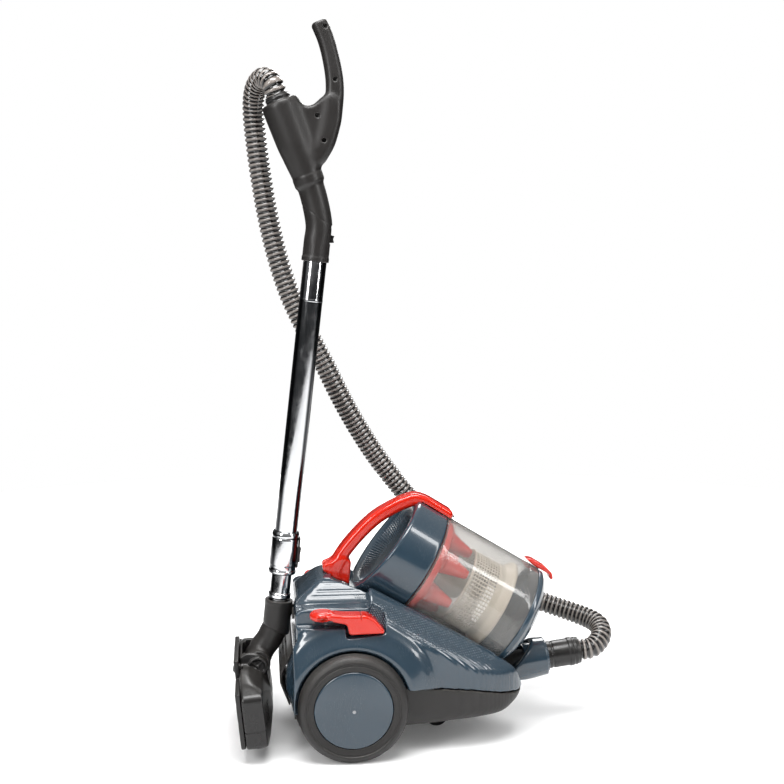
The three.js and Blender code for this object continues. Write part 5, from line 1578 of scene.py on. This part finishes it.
skinned(
    "suction_wedge", suction_field, (15, -7, 530), (27, 7, 548), 0.4, dark_satin, "air_slider",
    ["suction_slider"], WAND
)
cuff = [
    (13, -56), (19, -56), (19, -3), (19.4, -1.6), (19.4, 0.6), (18.2, 2), (18.2, 4), (18.8, 5), (18.4, 7),
    (17.4, 8), (17.4, 10), (13, 10)
]
turned("hose_cuff_ring", cuff, SOCKET, dark_satin, "wand_upper", ["hose_cuff"], 96, 0.5, True)
connector = [
    (14, -16), (20.5, -16), (20.5, 6), (19.8, 7), (19.8, 9), (20.5, 10), (20.5, 33), (21.5, 34.4),
    (21.5, 40, 1), (20.6, 41), (20.6, 43), (21, 43.6), (21, 46), (20.2, 46.8), (19.6, 51), (14, 51),
]
turned(
    "hose_connector_sleeve", connector, INLET, dark_satin, "hose_swivel", ["hose_connector"],
    96, 0.5, True
)
socket_ring = [(21.5, 0), (22, 0.6), (23.2, 0.6), (24, -0.4, 1), (24, -36), (18, -36), (18, -20), (21.5, -18)]
turned("nose_socket", socket_ring, INLET, slate_gloss, "canister", ["hose_inlet"], 96, 0.5, True)

# %% [markdown]
# ## Floor head
# The head hangs with its sole to the rear. Its charcoal casing is faceted: a broad back that tapers to the ends, a
# tower round the knuckle and a rocker pedal. The sole carries two red lint strips, a brush and two small rollers.

# %% Casing
HEAD_LOW, HEAD_HIGH, SOLE_X = -92, 4, -26
STRIP_HEIGHTS = {"front": HEAD_LOW + 16, "rear": HEAD_LOW + 50}
BRUSH_HEIGHT = HEAD_LOW + 63
ROLLER_ROOM = 7.5
roller_at = [(SOLE_X - 3, side * 48, HEAD_HIGH + 1) for side in (-1, 1)]


def roller_rooms(x, y, z):
    return [np.maximum(away(x, z, rx, rz) - ROLLER_ROOM, np.abs(y - ry) - 6) for rx, ry, rz in roller_at]


def head_field(x, y, z):
    profile = eased(
        [
            (SOLE_X + 0.4, HEAD_LOW + 3), (-2, HEAD_LOW), (9, HEAD_LOW + 7), (17, HEAD_LOW + 34),
            (16, HEAD_LOW + 58), (6, HEAD_HIGH - 12), (-14, HEAD_HIGH), (SOLE_X + 0.4, HEAD_HIGH + 2)
        ],
        4
    )
    front = eased([
        (-132, -84), (-122, -93), (122, -93), (132, -84), (132, -14), (110, 0), (60, 12), (-60, 12), (-110, 0),
        (-132, -14)
    ], 7)
    casing = soft_max(flat(x, z, profile), flat(y, z, front), 5)
    # The back falls away towards the ends in two facets.
    facet = (x - 16) + np.maximum(np.abs(y) - 50, 0) * 0.14
    casing = soft_max(casing, facet, 2)
    tower = soft_max(
        flat(x, z, eased([(SOLE_X + 0.4, -40), (12, -44), (14, 6), (4, 18), (-14, 22), (SOLE_X + 0.4, 18)], 5)),
        np.abs(y) - 38, 4
    )
    whole = soft_min(casing, tower, 7)
    centre = away(x, z)
    knuckle_room = np.maximum(centre - 20, np.abs(y) - 26.8)
    cap_room = np.maximum(centre - 15, np.abs(y) - 31.8)
    neck_room = np.maximum(flat(x, z, [(-21, 4), (-21, 60), (50, 60), (50, -34), (0, -26)]), np.abs(y) - 27)
    cap_slot = np.maximum(flat(x, z, [(-16, 0), (-16, 60), (50, 60), (50, -24), (0, -15)]), np.abs(y) - 31.8)
    inside = np.maximum(
        flat(x, z, [(SOLE_X - 1, -84), (-4, -87), (4, -56), (-6, -36), (SOLE_X - 1, -32)]), np.abs(y) - 126
    )
    pedal_slot = brick(x, y, z, (-7, 30), (-24, 24), (-60, -42))
    line = np.maximum(np.abs(z + 70 - 0.06 * np.abs(y)) - 0.5, -whole - 0.7)
    louvre = np.maximum(
        np.maximum(np.abs((z + 30) % 5.0 - 2.5) - 0.8, span(np.abs(y), 92, 118)),
        np.maximum(span(z, -62, -32), -whole - 1.2)
    )
    body = cut_out(
        whole, knuckle_room, cap_room, neck_room, cap_slot, inside, pedal_slot, *roller_rooms(x, y, z), line,
        np.maximum(louvre, -x - 6), k=0.9
    )
    pin = np.maximum(centre - 6, np.abs(y) - 38.2)
    # A capped disc with a cross closes the pin's hole on each cheek.
    disc = soft_max(centre - 14.5, span(np.abs(y), 36, 41.5), 1.5)
    spokes = np.minimum(np.abs(x + z), np.abs(x - z)) - 1.6
    dish = np.maximum(np.maximum(centre - 10.5, 2.6 - centre), np.maximum(39.8 - np.abs(y), -spokes))
    return np.minimum(soft_min(body, cut_out(disc, dish, k=0.5), 1), pin)


skinned(
    "head_casing", head_field, (-30, -135, -97), (22, 135, 26), 1.35, dark_satin, "floor_head",
    ["head_housing"], HEAD
)


# %% Sole
def sole_field(x, y, z):
    plate = soft_max(
        span(x, SOLE_X - 7, SOLE_X), soft_max(np.abs(y) - 129, span(z, HEAD_LOW + 4, HEAD_HIGH + 16), 8), 1.6
    )
    corner = np.maximum(np.abs(y) - 200, np.maximum(60 - np.abs(y), HEAD_HIGH - 10 - z))
    mouth = soft_max(np.abs(y) - 100, span(z, HEAD_LOW + 26, HEAD_LOW + 42), 3)
    seats = [
        soft_max(np.maximum(np.abs(y) - 92, np.abs(z - c) - 4.5), x - (SOLE_X - 4.4), 0.5)
        for c in STRIP_HEIGHTS.values()
    ]
    brush = np.maximum(np.abs(y) - 106, span(z, BRUSH_HEIGHT - 3, BRUSH_HEIGHT + 3))
    channels = np.maximum(
        np.abs((y + 9) % 18 - 9) - 1.5, np.maximum(x - (SOLE_X - 6), span(z, HEAD_LOW + 70, HEAD_LOW + 84))
    )
    return cut_out(plate, corner, mouth, *seats, brush, *roller_rooms(x, y, z), channels, k=0.8)


skinned(
    "head_sole_plate", sole_field, (-36, -132, -91), (-23, 132, 23), 1.2, dark_satin, "floor_head",
    ["head_sole"], HEAD
)


# %% Lint strips, brush and rollers
def pile(width, height, depth, step, reach, seed):
    """A block of short fibres on a backing: each fibre is a thin three-sided spike."""
    dice = np.random.default_rng(seed)
    across_count, up_count = int(width / step), int(height / step)
    u, v = np.meshgrid(np.arange(across_count), np.arange(up_count), indexing="ij")
    roots = np.stack(
        [u.ravel(), v.ravel()], 1
    ) * step + dice.uniform(-0.3, 0.3, (u.size, 2)) * step - (width / 2, height / 2)
    lean = dice.normal(0, 0.25 * reach, (len(roots), 2))
    points, faces = [], []
    for angle in np.arange(3) * 2 * math.pi / 3:
        foot = roots + 0.36 * step * np.array([math.cos(angle), math.sin(angle)])
        points.append(np.column_stack([np.full(len(roots), depth), foot]))
    tips = np.column_stack([depth - reach * dice.uniform(0.7, 1, len(roots)), roots + lean])
    count = len(roots)
    index = np.arange(count)
    for k in range(3):
        faces.append(np.stack([index + k * count, index + (k + 1) % 3 * count, index + 3 * count], 1))
    faces.append(np.stack([index + 2 * count, index + count, index], 1))
    return np.vstack([*points, tips]), np.vstack(faces).tolist()


for name, middle_z in STRIP_HEIGHTS.items():
    backing = np.array([(x, y, z) for x in (-31.6, -30.8) for y in (-91.4, 91.4) for z in (-3.9, 3.9)])
    backing_faces = [(0, 1, 3, 2), (4, 6, 7, 5), (0, 4, 5, 1), (2, 3, 7, 6), (0, 2, 6, 4), (1, 5, 7, 3)]
    tufts = pile(181, 7, -31.6, 0.9, 2.4, 7)
    points, faces = merged([tufts, (backing, backing_faces)])
    piece_from(
        f"lint_flock_{name}", points + (0, 0, middle_z), faces, red_flock, "floor_head",
        [f"lint_strip_{name}"], HEAD
    )
brush_tufts = pile(208, 3.4, -28, 0.85, 6.2, 11)
piece_from(
    "brush_bristles", brush_tufts[0] + (0, 0, BRUSH_HEIGHT), brush_tufts[1], bristle_black, "brush",
    ["brush_strip"], HEAD
)
roller_profile = [
    (0, -5), (2.4, -5), (2.4, -4.4), (3.2, -4.4), (3.2, -5), (6, -5, 1), (6.5, -4, 1), (6.5, 4, 1), (6, 5, 1),
    (3.2, 5), (3.2, 4.4), (2.4, 4.4), (2.4, 5), (0, 5)
]
for name, roller in zip(("right", "left"), roller_at):
    place = np.array(Matrix.Translation(placed(roller, HEAD)[0])) @ ACROSS
    turned(
        f"sole_roller_wheel_{name}", roller_profile, place, tyre_rubber, f"sole_roller_{name}",
        [f"roller_{name}"], 48, 0.4
    )


# %% Rocker pedal on the head
def rocker_field(x, y, z):
    outline = eased([(-1, -59), (11, -59), (13, -54), (12, -50), (11, -43.5), (-1, -43.5)], 2)
    grips = np.maximum(np.abs((y + 2) % 4 - 2) - 0.6, np.maximum(10.6 - x, np.abs(y) - 18))
    return cut_out(soft_max(flat(x, z, outline), np.abs(y) - 23, 1.5), grips, k=0.5)


skinned(
    "head_rocker_pedal", rocker_field, (-3, -25, -61), (15, 25, -41), 0.75, black_grained, "head_rocker",
    ["head_pedal"], HEAD
)


# %% [markdown]
# ## Foot pedals
# Two red pedals sit over the wheels. Each ends at the rear in a round pad for the shoe, on a bent arm. The top of
# the pad has a sunk ring, and the arm ends in a small block at its pivot.


# %% Pedals
PEDAL_PIVOT = (38, 190)


def pedal_field(side):
    def make(x, y, z):
        outline = eased(
            [
                (44, 184), (45, 188), (32, 204), (20, 211), (-13, 211.5), (-30, 214), (-30, 203), (-8, 198),
                (-5, 183)
            ],
            4
        )
        middle_y = side * PEDAL_Y
        arm = soft_max(flat(x, z, outline), np.abs(y - middle_y) - 14, 4)
        reach = away(x, y, PAD_X, middle_y)
        pad = flat(
            reach, z, eased([(-9, 203), (13, 203), (17.5, 206.5), (17.5, 211.5), (14.5, 215.4), (-9, 216)], 2)
        )
        ring = np.maximum(np.abs(reach - 11.5) - 0.5, 214 - z)
        hinge = np.maximum(away(x, z, *PEDAL_PIVOT) - 3, np.abs(y - middle_y) - 13)
        step_line = np.maximum(np.abs(x - 12) - 0.4, 205 - z)
        return cut_out(joined(soft_min(arm, pad, 4), hinge, k=1), ring, step_line, k=0.6)

    return make


for name, body, side in (("power", "power_pedal", -1), ("rewind", "rewind_pedal", 1)):
    span_y = sorted((side * (PEDAL_Y - 16), side * (PEDAL_Y + 16)))
    skinned(
        f"foot_pedal_{name}", pedal_field(side), (-63, span_y[0], 180), (48, span_y[1], 219), 0.9, red_gloss,
        body, [f"pedal_{name}"]
    )

# %% [markdown]
# ## Rear grille
# The exhaust air leaves through fine slats, tilted so that dust falls off them. A frame holds them over the filter.

# %% Grille
GRILLE_FACE = [
    (REAR + 16.4, FLOOR + 112), (REAR + 1.2, FLOOR + 82), (REAR - 1, FLOOR + 66), (REAR + 12, FLOOR + 32)
]


def grille_field(x, y, z):
    outline = [(u - 0.8, w) for u, w in GRILLE_FACE] + [(u - 3.4, w) for u, w in GRILLE_FACE[::-1]]
    panel = soft_max(flat(x, z, outline), np.abs(y) - 74, 1)
    window = np.maximum(np.abs(y) - 66, span(z, FLOOR + 42, FLOOR + 100))
    gaps = np.maximum(window, np.abs((z - 0.8 * x) % 5.2 - 2.6) - 1.25)
    posts = np.minimum(np.abs(y - 22), np.abs(y + 22)) - 1.4
    return cut_out(panel, np.maximum(gaps, -posts), body_field(x, y, z) - 0.1, k=0.4)


skinned(
    "slatted_grille", grille_field, (-106, -77, 64), (-76, 77, 150), 0.95, black_grained, "canister",
    ["rear_grille"]
)

# %% [markdown]
# ## CAD nodes that keep their own shape
# What lies inside the housings, or is only glimpsed, keeps its CAD shape with broken edges and a real finish.

# %% Dressed nodes
DRESSED = {
    "exhaust_filter": felt, "motor": turned_steel, "reel_axle": turned_steel, "intake_duct": dark_satin,
    "cord_outlet": dark_satin, "park_bracket": black_grained,
    "axle_left": turned_steel, "axle_right": turned_steel, "caster_fork": black_grained,
    "caster_axle": turned_steel, "fan": grey_cyclone, "cord_reel": grey_cyclone,
    "lid_filter": felt, "filter_frame": dark_satin,
}
for name, finish in DRESSED.items():
    dress(name, finish)
caster_profile = [
    (2.6, -8), (5, -8), (5, -7), (12, -6.6), (13, -8), (15.6, -8, 2), (17, -6, 2), (17, 6, 2), (15.6, 8, 2),
    (13, 8), (12, 6.6), (5, 7), (5, 8), (2.6, 8)
]
turned(
    "caster_tyre", caster_profile, across(CASTER_X - CASTER_TRAIL, CASTER_RADIUS), tyre_rubber, "caster_roller",
    ["caster_wheel"], 72, 0.4, True
)
print("dressed nodes:", len(DRESSED))
